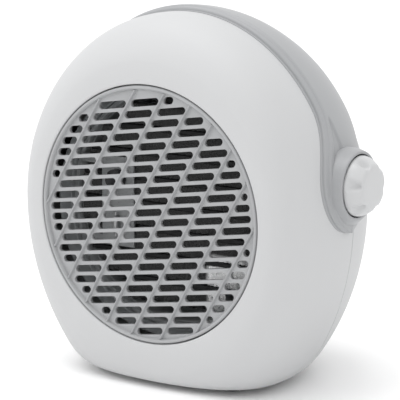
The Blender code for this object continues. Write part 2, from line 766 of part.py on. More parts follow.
def coil():
    """Winding round the lower leg of the stator, as a rectangular ring."""
    half = STATOR_W / 2
    low_z = CENTRE_Z - half
    leg = half * LEG_SHARE
    w = half * COIL_SHARE
    clear = 0.0008
    inner = (MOTOR_Y - clear, MOTOR_Y + STATOR_D + clear, low_z - clear, low_z + leg + clear)
    thick = 0.0018
    rings = []
    for x, grow in ((-w, 0.0), (-w, thick), (w, thick), (w, 0.0)):
        y0, y1, z0, z1 = inner[0] - grow * 2, inner[1] + grow * 2, inner[2] - grow * 2, inner[3] + grow * 0.6
        rings.append([Vector((x, y0, z0)), Vector((x, y1, z0)), Vector((x, y1, z1)), Vector((x, y0, z1))])
    make_object("motor_coil", rings_mesh(rings, True), "copper", smooth=False)


def brackets(bearing_front, bearing_rear):
    """Two crossing-arm plates hold the bearings; the front one reaches the air duct."""
    middle = (0, 0, CENTRE_Z)
    for name, bearing_y, reach in (
        ("motor_bracket", bearing_front, DUCT_R - DUCT_T - TOUCH),
        ("motor_end_plate", bearing_rear, STATOR_W / 2),
    ):
        y0 = bearing_y + (BEARING_L - BRACKET_T) / 2
        hub = tube("Y", y0, y0 + BRACKET_T, BEARING_R + 0.004, BEARING_R + TOUCH, middle, 24)
        plate = make_object(name, hub, "steel", smooth=False)
        arms = []
        for turn in (45, 135, 225, 315):
            arm = box((BEARING_R + 0.002, y0 + 0.0002, -0.004), (reach, y0 + BRACKET_T - 0.0002, 0.004))
            spin = Matrix.Rotation(-math.radians(turn), 4, "Y")
            bmesh.ops.transform(arm, matrix=Matrix.Translation(Vector(middle)) @ spin, verts=arm.verts)
            arms.append(arm)
        cut(plate, arms, "UNION")


def fan(axis):
    middle = (0, 0, CENTRE_Z)
    profile = [
        (FAN_Y, FAN_HUB_R * HUB_INNER),
        (FAN_Y + HUB_ROUND, FAN_HUB_R * HUB_OUTER),
        (FAN_Y + 0.0040, FAN_HUB_R),
        (FAN_Y + FAN_D, FAN_HUB_R),
    ]
    hub = make_object("fan_impeller", lathe(profile, "Y", middle, 30), "dark_plastic", axis)
    blades = []
    for number in range(FAN_BLADES):
        turn = math.tau * number / FAN_BLADES
        blades.append(blade_mesh(turn))
    cut(hub, blades, "UNION")
    bore = rod("Y", FAN_Y + 0.0040 - TOUCH, FAN_Y + FAN_D + 0.01, SHAFT_R + TOUCH, middle, 16)
    cut(hub, [bore])


def blade_mesh(turn):
    """One swept blade: sections from the hub outwards, each turned to its pitch."""
    rings = []
    sections = 5
    for step in range(sections):
        share = step / (sections - 1)
        radius = FAN_HUB_R * BLADE_ROOT + (FAN_R - FAN_HUB_R * BLADE_ROOT) * share
        chord = CHORD + CHORD_GAIN * math.sin(math.pi * (0.15 + 0.7 * share))
        pitch = math.radians(BLADE_PITCH - 8 * share)
        sweep = turn + BLADE_SWEEP * share
        ring = []
        for along, side in ((-0.5, 0), (0, -1), (0.5, 0), (0, 1)):
            run = chord * along
            thick = BLADE_T * side * (1.0 - BLADE_TAPER * share)
            around = run * math.cos(pitch) - thick * math.sin(pitch)
            depth = run * math.sin(pitch) + thick * math.cos(pitch)
            angle = sweep + around / radius
            x, z = radius * math.cos(angle), radius * math.sin(angle)
            ring.append(Vector((x, FAN_Y + FAN_D / 2 + depth, CENTRE_Z + z)))
        rings.append(ring)
    return rings_mesh(rings, False)


# ---------------------------------------------------------------- rear grille, feet and small pieces
def intake_screw_places():
    places = []
    radius = (INTAKE_R + INTAKE_FLANGE) / 2
    for turn in (45, 135, 225, 315):
        angle = math.radians(turn)
        x, z = radius * math.cos(angle), radius * math.sin(angle)
        places.append((x, CENTRE_Z + INTAKE_RISE + z))
    return places


def rear_grille():
    middle = (0, DEPTH, CENTRE_Z + INTAKE_RISE)
    profile = [(TOUCH, INTAKE_FLANGE), (INTAKE_T, INTAKE_FLANGE - 0.0008)]
    disc = make_object("rear_grille", lathe(profile, "Y", middle, 48), "grille_grey")
    cutters = []
    inner = INTAKE_R - 0.0030
    pitch = 2 * inner / INTAKE_SLOTS
    for number in range(INTAKE_SLOTS):
        level = (number - (INTAKE_SLOTS - 1) / 2) * pitch
        half_h = pitch * BAR_SHARE
        reach = math.sqrt(inner**2 - (abs(level) + half_h) ** 2)
        for left, right in ((-reach, -0.0020), (0.0020, reach)):
            low = (left, DEPTH - 0.01, middle[2] + level - half_h)
            high = (right, DEPTH + 0.01, middle[2] + level + half_h)
            cutters.append(box(low, high))
    for number, (x, z) in enumerate(intake_screw_places(), 1):
        cutters.append(rod("Y", -0.01, 0.01, SCREW_R + TOUCH, (x, DEPTH, z), 10))
        head = INTAKE_T + TOUCH
        crown = SCREW_HEAD_R * SCREW_CROWN
        profile = [(-SCREW_L, SCREW_R), (head, SCREW_R), (head, SCREW_HEAD_R), (head + SCREW_HEAD_T, crown)]
        bm = lathe(profile, "Y", (x, DEPTH, z), 10)
        make_object(f"intake_screw_{number}", bm, "steel")
    cut(disc, cutters)


def foot_hole(x, y):
    return rod("Z", -0.001, 0.02, STEM_R + TOUCH, (x, y, 0), 12)


def feet():
    for name, x, y in FEET:
        top = FOOT_H - TOUCH
        profile = [(0.0, FOOT_R - FOOT_BEVEL), (FOOT_BEVEL, FOOT_R), (top, FOOT_R)]
        profile += [(top, STEM_R), (top + STEM_L, STEM_R)]
        make_object(name, lathe(profile, "Z", (x, y, 0), 20), "rubber")


def tip_switch():
    """Switch that cuts the heat when the body is lifted; its plunger rides on the floor."""
    floor_in = FOOT_H + WALL + TOUCH
    half = TIP_W / 2
    body = make_object(
        "tip_switch_body",
        box((-half, TIP_Y - half, floor_in), (half, TIP_Y + half, floor_in + TIP_H)),
        "dark_plastic",
        smooth=False,
    )
    top = floor_in + 0.0110
    bore = rod("Z", floor_in - 0.01, top, PLUNGER_R + SHAFT_FIT, (0, TIP_Y, 0), 16)
    cut(body, [bore])
    axis = joint_empty("plunger_axis", Vector((0, TIP_Y, 0)))
    profile = [(0.0, PLUNGER_R * PLUNGER_TIP), (0.0008, PLUNGER_R), (top - 0.0006, PLUNGER_R)]
    make_object("tip_switch_plunger", lathe(profile, "Z", (0, TIP_Y, 0), 16), "dark_plastic", axis)


def cord_gland():
    place = (GLAND_X, DEPTH, CENTRE_Z + GLAND_RISE)
    loop = [
        (-0.0300, GLAND_BORE),
        (-0.0300, GLAND_R),
        (0.0, GLAND_R),
        (0.0, GLAND_BORE),
    ]
    make_object("cord_gland", lathe(loop, "Y", place, 20, hollow=True), "rubber")


def main():
    clear_scene()
    front_housing()
    rear_housing()
    front_grille()
    carry_band()
    bezels()
    controls()
    air_duct()
    heater_frame()
    heating_element()
    thermal_parts()
    fan_and_motor()
    rear_grille()
    feet()
    tip_switch()
    cord_gland()
    for obj in bpy.data.objects:
        if obj.parent is None:
            obj.location.y -= MIDDLE_Y


main()
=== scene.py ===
"""Round free-standing fan heater: a finely modelled version of every visible piece.

Metres, +Z up, front towards -Y, origin on the floor under the middle of the body.
"""

import json
import math
import bmesh
import bpy
from bpy.props import FloatProperty, FloatVectorProperty, IntProperty, PointerProperty
from mathutils import Matrix, Vector

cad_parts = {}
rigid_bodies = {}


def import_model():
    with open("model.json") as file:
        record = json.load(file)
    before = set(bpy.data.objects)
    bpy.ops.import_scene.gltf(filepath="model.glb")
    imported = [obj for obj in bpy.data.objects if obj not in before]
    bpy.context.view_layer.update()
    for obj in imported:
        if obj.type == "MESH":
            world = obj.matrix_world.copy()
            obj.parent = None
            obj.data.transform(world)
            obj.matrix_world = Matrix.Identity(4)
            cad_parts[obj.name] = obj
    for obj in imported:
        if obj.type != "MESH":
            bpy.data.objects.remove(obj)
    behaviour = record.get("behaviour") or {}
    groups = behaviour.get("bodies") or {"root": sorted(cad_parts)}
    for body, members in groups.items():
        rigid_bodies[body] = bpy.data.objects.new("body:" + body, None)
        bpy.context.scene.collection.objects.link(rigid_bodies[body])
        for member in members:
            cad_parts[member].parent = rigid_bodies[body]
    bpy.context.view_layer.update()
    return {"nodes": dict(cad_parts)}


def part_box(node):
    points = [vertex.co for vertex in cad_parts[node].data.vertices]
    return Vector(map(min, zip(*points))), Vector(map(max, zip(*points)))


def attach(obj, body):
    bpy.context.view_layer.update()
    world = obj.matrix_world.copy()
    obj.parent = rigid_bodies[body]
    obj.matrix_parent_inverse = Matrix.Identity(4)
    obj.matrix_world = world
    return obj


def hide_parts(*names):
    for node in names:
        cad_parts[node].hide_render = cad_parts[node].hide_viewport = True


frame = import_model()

bl_info = {
    "name": "Round fan heater",
    "version": (1, 0, 0),
    "blender": (4, 5, 0),
    "location": "3D View > Sidebar > Heater",
    "description": "Builds a round fan heater, one piece at a time",
    "category": "Add Mesh",
}

# ---------------------------------------------------------------- places taken from the frame
SHELL_LOW, SHELL_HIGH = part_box("front_housing")
REAR_LOW, REAR_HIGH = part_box("rear_housing")
GRILLE_LOW, GRILLE_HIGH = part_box("front_grille")
KNOB_LOW, KNOB_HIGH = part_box("thermostat_knob")
BEZEL_LOW, BEZEL_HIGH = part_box("right_bezel")
DUCT_LOW, DUCT_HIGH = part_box("air_duct")
HEATER_LOW, HEATER_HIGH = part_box("heater_frame")
INTAKE_LOW, INTAKE_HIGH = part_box("rear_grille")
FAN_LOW, FAN_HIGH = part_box("fan_impeller")
BAND_LOW, BAND_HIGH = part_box("carry_band")

RIM_Y = SHELL_LOW.y  # plane of the front rim
CENTRE_Z = (GRILLE_LOW.z + GRILLE_HIGH.z) / 2
TOP_RISE = SHELL_HIGH.z - CENTRE_Z
BASE_DROP = CENTRE_Z - SHELL_LOW.z
PARTING = SHELL_HIGH.y - RIM_Y
DEPTH = REAR_HIGH.y - RIM_Y
KNOB_Y = (KNOB_LOW.y + KNOB_HIGH.y) / 2 - RIM_Y
KNOB_RISE = (KNOB_LOW.z + KNOB_HIGH.z) / 2 - CENTRE_Z
SIDES = (("left", -1, "selector"), ("right", 1, "thermostat"))


# ---------------------------------------------------------------- sizes and colours
def metres(name, description, default):
    return FloatProperty(
        name=name, description=description, default=default, unit="LENGTH", precision=4
    )


def tint(name, description, default):
    return FloatVectorProperty(
        name=name, description=description, default=default, subtype="COLOR", size=3, min=0, max=1
    )


class BodySizes(bpy.types.PropertyGroup):
    """Curves that the two shells share."""

    half_width: metres("Half width", "Centre to side at the widest section", 0.1198)
    low_rise: metres("Low rise", "Grille centre down to where the lower curve closes", 0.1562)
    widest: metres("Widest section", "Depth of the widest section", 0.0478)
    forward: metres("Forward", "How far the top of the widest section leans to the front", 0.0060)
    tail: metres("Tail", "Depth where the rear curve closes", 0.1833)
    tail_drop: metres("Tail drop", "How far the tail closes below the grille centre", 0.0176)
    base_round: metres("Base round", "Softness of the edge between sides and base", 0.0130)
    wall: metres("Wall", "Thickness of the shells", 0.0025)
    gap: metres("Gap", "Dark line round the front grille", 0.0008)
    lip: metres("Lip", "Radius of the rolled lip round the opening", 0.0012)
    seam: metres("Seam", "Bevel along the line where the shells meet", 0.0006)
    rear_round: metres("Rear round", "Radius between the sides and the flat rear", 0.0050)
    front_power: FloatProperty(
        name="Front fullness", description="Fullness of the front rounding", default=2.3
    )
    steps: IntProperty(name="Steps", description="Facets round the body", default=208)


class GrilleSizes(bpy.types.PropertyGroup):
    """Ribs and slots of the front grille."""

    ring: metres("Ring", "Width of the raised ring", 0.0030)
    edge_set: metres("Edge set", "How far the plate's edge lies behind the rim", 0.0024)
    dome: metres("Dome", "Rise of the plate from its edge to its middle", 0.0023)
    thick: metres("Thickness", "Thickness of the plate", 0.0026)
    row_pitch: metres("Row pitch", "Distance between two rows of slots", 0.0075)
    slot_height: metres("Slot height", "Height of a slot", 0.0051)
    rib_pitch: metres("Rib pitch", "Distance between two ribs along a row", 0.0242)
    web: metres("Web", "Plate left between two slots of a row", 0.0028)
    shift: metres("Shift", "Sideways place of the first rib right of the middle", 0.0121)
    row_shift: metres("Row shift", "Rise of the middle of the rows", -0.0019)
    corner: metres("Corner", "Radius of a slot's corners", 0.0022)
    slot_edge: metres("Slot edge", "Slots stop inside this radius", 0.0848)
    rib_width: metres("Rib width", "Width of a rib at its foot", 0.0028)
    rib_rise: metres("Rib rise", "Height of a rib over the plate", 0.0021)
    rows: IntProperty(name="Rows", description="Rows of slots", default=24)
    lean: FloatProperty(name="Lean", description="Sideways run of a rib per unit of rise", default=0.599)
    slope: FloatProperty(name="Slope", description="Rise of a row per unit to the right", default=0.154)


class BandSizes(bpy.types.PropertyGroup):
    """Grey band over the top, its round ends, rings and knobs."""

    front: metres("Front edge", "Depth of the front edge over the top", 0.0495)
    rear: metres("Rear edge", "Depth of the rear edge over the top", 0.1090)
    thick: metres("Thickness", "Height of the band over the shell", 0.0034)
    flange: metres("Flange", "Width of the low strip along each edge", 0.0068)
    channel: metres("Channel", "Width of the sunken line along each edge", 0.0024)
    crown: FloatProperty(name="Crown", description="Extra thickness over the top", default=0.5)
    pocket: metres("Pocket", "Depth of the long pocket over each round end", 0.0010)
    pocket_rise: metres("Pocket rise", "Height of a pocket's tip over the knob", 0.0450)
    lobe: metres("Round end", "Radius of a round end", 0.0324)
    blend: metres("Blend", "Height where a round end meets the band", 0.0750)
    ring_foot: metres("Ring foot", "Radius of a ring at its foot", 0.0270)
    ring_top: metres("Ring top", "Radius of a ring at its top", 0.0232)
    ring_bore: metres("Ring bore", "Radius inside a ring", 0.0212)
    knob: metres("Knob", "Radius of a knob", 0.0204)
    cap: metres("Knob cap", "Radius of a knob's flat cap", 0.0150)
    dimple: metres("Dimple", "Depth of a finger dimple", 0.0040)
    dimples: IntProperty(name="Dimples", description="Finger dimples round a knob", default=6)


class Finishes(bpy.types.PropertyGroup):
    """Colours of the plastics and metals."""

    white: tint("White shell", "Moulded white plastic", (0.490, 0.494, 0.500))
    grey: tint("Grey trim", "Band and rings", (0.310, 0.315, 0.324))
    grille: tint("Grille grey", "Front and rear grille", (0.335, 0.340, 0.347))
    black: tint("Black plastic", "Fan and switch bodies", (0.018, 0.018, 0.020))
    duct: tint("Duct", "Air duct", (0.420, 0.435, 0.445))
    board: tint("Frame", "Heater frame", (0.330, 0.340, 0.346))
    ceramic: tint("Ceramic", "Ceramic strips", (0.016, 0.016, 0.017))
    fin: tint("Fins", "Folded aluminium", (0.880, 0.885, 0.890))
    steel: tint("Steel", "Motor, screws and shafts", (0.520, 0.525, 0.530))
    brass: tint("Brass", "Nuts and tabs", (0.700, 0.540, 0.280))
    copper: tint("Copper", "Winding", (0.560, 0.270, 0.140))
    bronze: tint("Bronze", "Bearings", (0.440, 0.300, 0.160))
    rubber: tint("Rubber", "Feet and gland", (0.024, 0.024, 0.025))


class StageSettings(bpy.types.PropertyGroup):
    """Camera place and lens."""

    azimuth: FloatProperty(
        name="Azimuth", description="Camera turned to the right", default=0.6024803, subtype="ANGLE"
    )
    elevation: FloatProperty(
        name="Elevation", description="Camera over the horizon", default=0.2040867, subtype="ANGLE"
    )
    distance: metres("Distance", "Camera to the grille centre", 1.6226)
    lens: FloatProperty(name="Lens", description="Focal length in millimetres", default=217.32)
    aside: metres("Aside", "Grille centre to the left of the view's centre", 0.03603)
    below: metres("Below", "Grille centre under the view's centre", 0.01051)


# ---------------------------------------------------------------- the body's surface
def settings(name):
    return getattr(bpy.context.scene, f"heater_{name}")


def soft_floor(height, level, radius):
    """Height held above a level, with a rounded change between the two."""
    above = height - level
    if above >= radius:
        return height
    if above <= -radius:
        return level
    return level + (above + radius) ** 2 / (4 * radius)


def body_point(angle, depth, inset=0.0):
    """Point of the body's surface moved inwards by inset, at a depth and an angle from +X."""
    body = settings("body")
    across, up = math.cos(angle), math.sin(angle)
    wide = body.half_width - inset
    tall = (TOP_RISE if up > 0 else body.low_rise) - inset
    widest = body.widest - body.forward * max(up, 0.0) ** 2
    if depth <= widest:
        share = min(max((depth - inset) / (widest - inset), 0.0), 1.0)
        blend = (1 - (1 - share) ** body.front_power) ** (1 / body.front_power)
        rim = GRILLE_HIGH.x + body.gap + max(inset, 0.0)
        x = across * (rim + (wide - rim) * blend)
        z = up * (rim + (tall - rim) * blend)
    else:
        share = min((depth - widest) / (body.tail - inset - widest), 1.0)
        shrink = math.sqrt(1 - share * share)
        x = across * wide * shrink
        z = -body.tail_drop + (up * tall + body.tail_drop) * shrink
    z = soft_floor(z, inset - BASE_DROP, max(body.base_round - inset, 0.004))
    return Vector((x, RIM_Y + depth, CENTRE_Z + z))


def round_point(angle, depth, radius, rise=0.0):
    return Vector(
        (radius * math.cos(angle), RIM_Y + depth, CENTRE_Z + rise + radius * math.sin(angle))
    )


def front_depth(turn, inset=0.0):
    """Depth on the front rounding: turn 0 is the rim and turn 1 the widest section."""
    body = settings("body")
    fall = math.cos(turn * math.pi / 2) ** (2 / body.front_power)
    return inset + (body.widest - inset) * (1 - fall)


def shell_angle(share):
    return math.tau * share


# ---------------------------------------------------------------- mesh helpers
def clear_choice():
    if bpy.context.mode != "OBJECT":
        bpy.ops.object.mode_set(mode="OBJECT")
    bpy.ops.object.select_all(action="DESELECT")


def choose(obj):
    clear_choice()
    obj.select_set(True)
    bpy.context.view_layer.objects.active = obj


def edit_all(obj, mode="VERT"):
    choose(obj)
    bpy.ops.object.mode_set(mode="EDIT")
    bpy.ops.mesh.select_mode(type=mode)
    bpy.ops.mesh.select_all(action="SELECT")


def weld(obj, within=1e-6, outwards=True):
    """Closes seams and poles, then turns every face outwards."""
    edit_all(obj)
    bpy.ops.mesh.remove_doubles(threshold=within)
    bpy.ops.mesh.dissolve_degenerate(threshold=1e-7)
    if outwards:
        bpy.ops.mesh.normals_make_consistent(inside=False)
    bpy.ops.object.mode_set(mode="OBJECT")


def sheet(name, columns, rows, place):
    """A grid whose points are moved to place(u, v), u and v running from 0 to 1."""
    clear_choice()
    bpy.ops.mesh.primitive_grid_add(x_subdivisions=columns, y_subdivisions=rows, size=1)
    obj = bpy.context.object
    obj.name = obj.data.name = name
    for vert in obj.data.vertices:
        vert.co = place(vert.co.x + 0.5, vert.co.y + 0.5)
    return obj


def loop_shell(name, columns, sections):
    """A closed skin: each section is a function of the angle, and the last meets the first."""
    count = len(sections)

    def place(u, v):
        index = round(v * count) % count
        return sections[index](shell_angle(u))

    obj = sheet(name, columns, count, place)
    weld(obj)
    return obj


AXES = {"X": Vector((1, 0, 0)), "Y": Vector((0, 1, 0)), "Z": Vector((0, 0, 1))}


def turned(name, section, axis, centre, steps=96):
    """Spins a closed section of (along, radius) points round an axis through centre."""
    clear_choice()
    bpy.ops.mesh.primitive_circle_add(vertices=len(section), radius=1, fill_type="NOTHING")
    obj = bpy.context.object
    obj.name = obj.data.name = name
    along_axis = AXES[axis]
    out = AXES["Z"] if axis != "Z" else AXES["X"]
    for vert, (along, radius) in zip(obj.data.vertices, section):
        vert.co = Vector(centre) + along_axis * along + out * radius
    edit_all(obj)
    bpy.ops.mesh.spin(steps=steps, angle=math.tau, center=centre, axis=along_axis)
    bpy.ops.object.mode_set(mode="OBJECT")
    weld(obj, 2e-6)
    return obj


def modified(obj, kind, **values):
    """Adds a modifier with its values and applies it."""
    choose(obj)
    step = obj.modifiers.new(kind.title(), kind)
    for key, value in values.items():
        setattr(step, key, value)
    bpy.ops.object.modifier_apply(modifier=step.name)


def rounded(obj, width, segments=2, angle=0.5):
    modified(
        obj, "BEVEL", width=width, segments=segments, limit_method="ANGLE", angle_limit=angle,
        use_clamp_overlap=True,
    )


def smooth(obj, degrees=35.0):
    choose(obj)
    bpy.ops.object.shade_smooth_by_angle(angle=math.radians(degrees))


def join(name, parts):
    clear_choice()
    for part in parts:
        part.select_set(True)
    bpy.context.view_layer.objects.active = parts[0]
    bpy.ops.object.join()
    parts[0].name = parts[0].data.name = name
    return parts[0]


def copied(obj, name):
    """A second object with a mesh of its own."""
    twin = obj.copy()
    twin.data = obj.data.copy()
    twin.name = twin.data.name = name
    bpy.context.scene.collection.objects.link(twin)
    return twin


def block(name, low, high, bevel=0.0006, segments=2):
    """A cube primitive at its size and place, with rounded edges."""
    clear_choice()
    middle = (Vector(low) + Vector(high)) / 2
    size = Vector(high) - Vector(low)
    bpy.ops.mesh.primitive_cube_add(size=1, location=middle)
    obj = bpy.context.object
    obj.scale = size
    bpy.ops.object.transform_apply(location=True, rotation=True, scale=True)
    obj.name = obj.data.name = name
    rounded(obj, bevel, segments)
    return obj


def finished(obj, body, finish, nodes=(), degrees=35.0):
    """Gives a piece its finish, its body and the nodes that it stands for."""
    smooth(obj, degrees)
    obj.data.materials.clear()
    obj.data.materials.append(finish)
    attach(obj, body)
    if nodes:
        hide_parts(*nodes)
    return obj


# ---------------------------------------------------------------- materials
class Wire:
    """A shader socket; arithmetic on it adds Math nodes."""

    def __init__(self, tree, socket):
        self.tree = tree
        self.socket = socket

    def make(self, kind, choices=(), output=0, **sockets):
        """Adds a node: its settings first, then values or wires for its sockets."""
        node = self.tree.nodes.new(kind)
        for key, value in dict(choices).items():
            setattr(node, key, value)
        for key, value in sockets.items():
            spot = int(key[1:]) if key[0] == "_" else key.replace("_", " ")
            if isinstance(value, Wire):
                self.tree.links.new(value.socket, node.inputs[spot])
            else:
                node.inputs[spot].default_value = value
        return Wire(self.tree, node.outputs[output])

    def maths(self, operation, first, second):
        return self.make("ShaderNodeMath", {"operation": operation}, _0=first, _1=second)

    def __add__(self, other):
        return self.maths("ADD", self, other)

    __radd__ = __add__

    def __sub__(self, other):
        return self.maths("SUBTRACT", self, other)

    def __rsub__(self, other):
        return self.maths("SUBTRACT", other, self)

    def __mul__(self, other):
        return self.maths("MULTIPLY", self, other)

    __rmul__ = __mul__

    def noise(self, scale, detail=3.0, stretch=(1, 1, 1)):
        """Noise over this vector, from 0 to 1."""
        spot = self.make("ShaderNodeMapping", Vector=self, Scale=stretch)
        return self.make("ShaderNodeTexNoise", Vector=spot, Scale=scale, Detail=detail)

    def ramp(self, low, high):
        """This value spread from 0 at low to 1 at high."""
        return self.make("ShaderNodeMapRange", {"clamp": True}, Value=self, From_Min=low, From_Max=high)

    def mix(self, first, second):
        """Colour between two, by this value."""
        return self.make(
            "ShaderNodeMix", {"data_type": "RGBA"}, output=2, _0=self, _6=first, _7=second
        )


def shade(colour, factor):
    return tuple(min(part * factor, 1.0) for part in colour) + (1.0,)


def new_finish(name, colour, rough, metal=0.0, vary=0.04, scale=30.0, stretch=(1, 1, 1),
               rough_vary=0.08, grain=0.0006, grain_scale=1400.0, specks=0.0, coat=0.0, ior=1.5,
               lit_patch=None):
    """A moulded or rolled finish: clouded colour, uneven gloss and a fine grain; with a lit patch, painted shade
    darkens the colour outside it.
    """
    found = bpy.data.materials.new(name)
    found.use_nodes = True
    tree = found.node_tree
    shader = tree.nodes["Principled BSDF"]
    shader.inputs["Metallic"].default_value = metal
    shader.inputs["Coat Weight"].default_value = coat
    shader.inputs["Coat Roughness"].default_value = 0.12
    shader.inputs["IOR"].default_value = ior
    place = Wire(tree, tree.nodes.new("ShaderNodeTexCoord").outputs["Object"])
    cloud = place.noise(scale, 4.0, stretch)
    fine = place.noise(grain_scale, 2.0, stretch)
    tone = cloud.ramp(0.3, 0.7).mix(shade(colour, 1 - vary), shade(colour, 1 + vary))
    if specks:
        tone = (place.noise(900.0, 1.0).ramp(0.66, 0.72) * specks).mix(tone, shade(colour, 0.55))
    if lit_patch:
        # painted shade: outside the lit patch the colour drops to 6 per cent
        tone = lit_patch(place).mix(shade(colour, 0.06), tone)
    gloss = cloud.ramp(0.25, 0.75) * (2 * rough_vary) + (rough - rough_vary)
    bump = place.make("ShaderNodeBump", Strength=1.0, Distance=grain * 0.1, Height=fine)
    tree.links.new(tone.socket, shader.inputs["Base Color"])
    tree.links.new(gloss.socket, shader.inputs["Roughness"])
    tree.links.new(bump.socket, shader.inputs["Normal"])
    return found


def fins_lit_patch(place):
    """1 over the lower right part of the fins, which keep their own colour there; 0 over the rest, where painted
    shade darkens them.
    """
    across = place.make("ShaderNodeSeparateXYZ", Vector=place)
    up = place.make("ShaderNodeSeparateXYZ", output=2, Vector=place)
    low = 1 - up.ramp(CENTRE_Z - 0.032, CENTRE_Z - 0.028)
    return across.ramp(0.026, 0.029) * low


def make_finishes():
    hue = settings("finish")
    across = (1, 60, 60)
    return {
        "white_shell": new_finish("white_moulding", hue.white, 0.55, vary=0.012, scale=14.0,
                                  rough_vary=0.05, grain=0.0004),
        "knob_white": new_finish("knob_moulding", hue.white, 0.33, vary=0.012, scale=40.0,
                                 rough_vary=0.05, grain=0.0003),
        "grey_trim": new_finish("grey_moulding", hue.grey, 0.40, vary=0.02, scale=20.0,
                                rough_vary=0.05, grain=0.0004),
        "grille_grey": new_finish("grille_moulding", hue.grille, 0.42, vary=0.025, scale=45.0,
                                  rough_vary=0.06, grain=0.0004),
        "dark_plastic": new_finish("black_moulding", hue.black, 0.28, vary=0.1, scale=60.0,
                                   grain=0.0004),
        "duct_grey": new_finish("duct_moulding", hue.duct, 0.5, vary=0.06, scale=30.0,
                                grain=0.0008),
        "frame_grey": new_finish("frame_board", hue.board, 0.55, vary=0.1, scale=60.0,
                                 specks=0.6, grain=0.0010),
        "ceramic": new_finish("ceramic_strip", hue.ceramic, 0.7, vary=0.08, scale=120.0,
                              specks=0.7, grain=0.0014),
        # fins: painted shade over all but their lower right patch
        "aluminium": new_finish("folded_aluminium", hue.fin, 0.3, 1.0, vary=0.06, scale=20.0,
                                stretch=(30, 1, 30), grain=0.0006, grain_scale=300.0,
                                lit_patch=fins_lit_patch),
        "steel": new_finish("rolled_steel", hue.steel, 0.38, 1.0, vary=0.08, scale=25.0,
                            stretch=across, grain=0.0006, grain_scale=200.0),
        "brass": new_finish("turned_brass", hue.brass, 0.34, 1.0, vary=0.08, scale=90.0),
        "copper": new_finish("copper_winding", hue.copper, 0.34, 1.0, vary=0.3, scale=9.0,
                             stretch=(120, 1, 1), grain=0.0030, grain_scale=30.0),
        "bronze": new_finish("sintered_bronze", hue.bronze, 0.5, 1.0, vary=0.15, scale=400.0,
                             grain=0.0020),
        "rubber": new_finish("moulded_rubber", hue.rubber, 0.75, vary=0.15, scale=90.0,
                             specks=0.3, grain=0.0020, grain_scale=900.0),
    }


FINISH = {}


# ---------------------------------------------------------------- pieces
def on_body(depth, inset=0.0):
    return lambda angle: body_point(angle, depth, inset)


def on_circle(depth, radius, rise=0.0):
    return lambda angle: round_point(angle, depth, radius, rise)


def between(first, second, share):
    return lambda angle: first(angle).lerp(second(angle), share)


class HEATER_OT_front_shell(bpy.types.Operator):
    """Front half of the body, with the rolled lip round its opening."""

    bl_idname = "heater.front_shell"
    bl_label = "Front shell"

    def execute(self, context):
        body = settings("body")
        bore = GRILLE_HIGH.x + body.gap
        lip = body.lip
        sections = [on_circle(0.0090, bore), on_circle(0.0050, bore)]
        for step in range(6):
            turn = step / 5 * math.pi / 2
            sections.append(on_circle(lip * (1 - math.sin(turn)), bore + lip * (1 - math.cos(turn))))
        turns = [0.17 + 0.83 * step / 30 for step in range(31)]
        sections += [on_body(front_depth(turn)) for turn in turns]
        straight = PARTING - body.seam
        for step in range(1, 9):
            sections.append(on_body(body.widest + (straight - body.widest) * step / 8))
        sections.append(on_body(PARTING, body.seam))
        sections.append(on_body(PARTING, body.wall))
        for step in range(11, -1, -1):
            sections.append(on_body(front_depth(0.1 + 0.9 * step / 11, body.wall), body.wall))
        sections.append(on_circle(0.0090, bore + body.wall))
        shell = loop_shell("front_shell", body.steps, sections)
        finished(shell, "root", FINISH["white_shell"], ["front_housing"], 40)
        return {"FINISHED"}


class HEATER_OT_rear_shell(bpy.types.Operator):
    """Rear half of the body, with the flat face that holds the air intake."""

    bl_idname = "heater.rear_shell"
    bl_label = "Rear shell"

    def execute(self, context):
        body = settings("body")
        start = REAR_LOW.y - RIM_Y
        opening = INTAKE_HIGH.x * 0.85
        rise = (INTAKE_LOW.z + INTAKE_HIGH.z) / 2 - CENTRE_Z
        bend = body.rear_round
        sections = [on_body(start, body.wall), on_body(start, body.seam), on_body(start + body.seam)]
        last = DEPTH - bend
        for step in range(1, 25):
            sections.append(on_body(start + body.seam + (last - start - body.seam) * step / 24))
        edge = on_body(DEPTH, 0.0)
        hole = on_circle(DEPTH, opening, rise)
        flat = between(edge, hole, 0.10)
        for step in range(1, 7):
            turn = step / 6
            first = between(on_body(last), edge, turn)
            second = between(edge, flat, turn)
            sections.append(between(first, second, turn))
        sections += [between(flat, hole, share) for share in (0.3, 0.6, 0.9)]
        sections += [hole, on_circle(DEPTH - body.wall, opening, rise)]
        inner = on_body(DEPTH - bend - body.wall, body.wall)
        sections.append(inner)
        for step in range(9, 0, -1):
            sections.append(on_body(start + (DEPTH - bend - body.wall - start) * step / 10, body.wall))
        shell = loop_shell("rear_shell", body.steps, sections)
        finished(shell, "root", FINISH["white_shell"], ["rear_housing"], 40)
        return {"FINISHED"}


def plate_depth(radius):
    """Depth of the front of the grille plate at a radius."""
    grille = settings("grille")
    share = min(radius / (GRILLE_HIGH.x - grille.ring), 1.0)
    return grille.edge_set - grille.dome * (1 - share * share)


def pattern_point(along, level):
    """Place on the grille for a distance along the rows and a height across them."""
    grille = settings("grille")
    x = (along + grille.lean * level) / (1 - grille.lean * grille.slope)
    return Vector((x, level + grille.slope * x))


def held_inside(point, radius):
    return point if point.length <= radius else point * (radius / point.length)


def rounded_corners(corners, radius, steps):
    """Outline of a four-sided slot with round corners, as many points for each corner."""
    outline = []
    for index, corner in enumerate(corners):
        before = (corners[index - 1] - corner).normalized()
        after = (corners[(index + 1) % 4] - corner).normalized()
        half = before.angle(after) / 2
        run = radius / math.tan(half)
        start, end = corner + before * run, corner + after * run
        centre = corner + (before + after).normalized() * (radius / math.sin(half))
        first, last = (start - centre).normalized(), (end - centre).normalized()
        spread = first.angle(last)
        for step in range(steps):
            share = step / (steps - 1)
            if spread < 1e-4:
                direction = first
            else:
                direction = (
                    first * math.sin((1 - share) * spread) + last * math.sin(share * spread)
                ) / math.sin(spread)
            outline.append(centre + direction * radius)
    return outline


CORNER_STEPS = 6


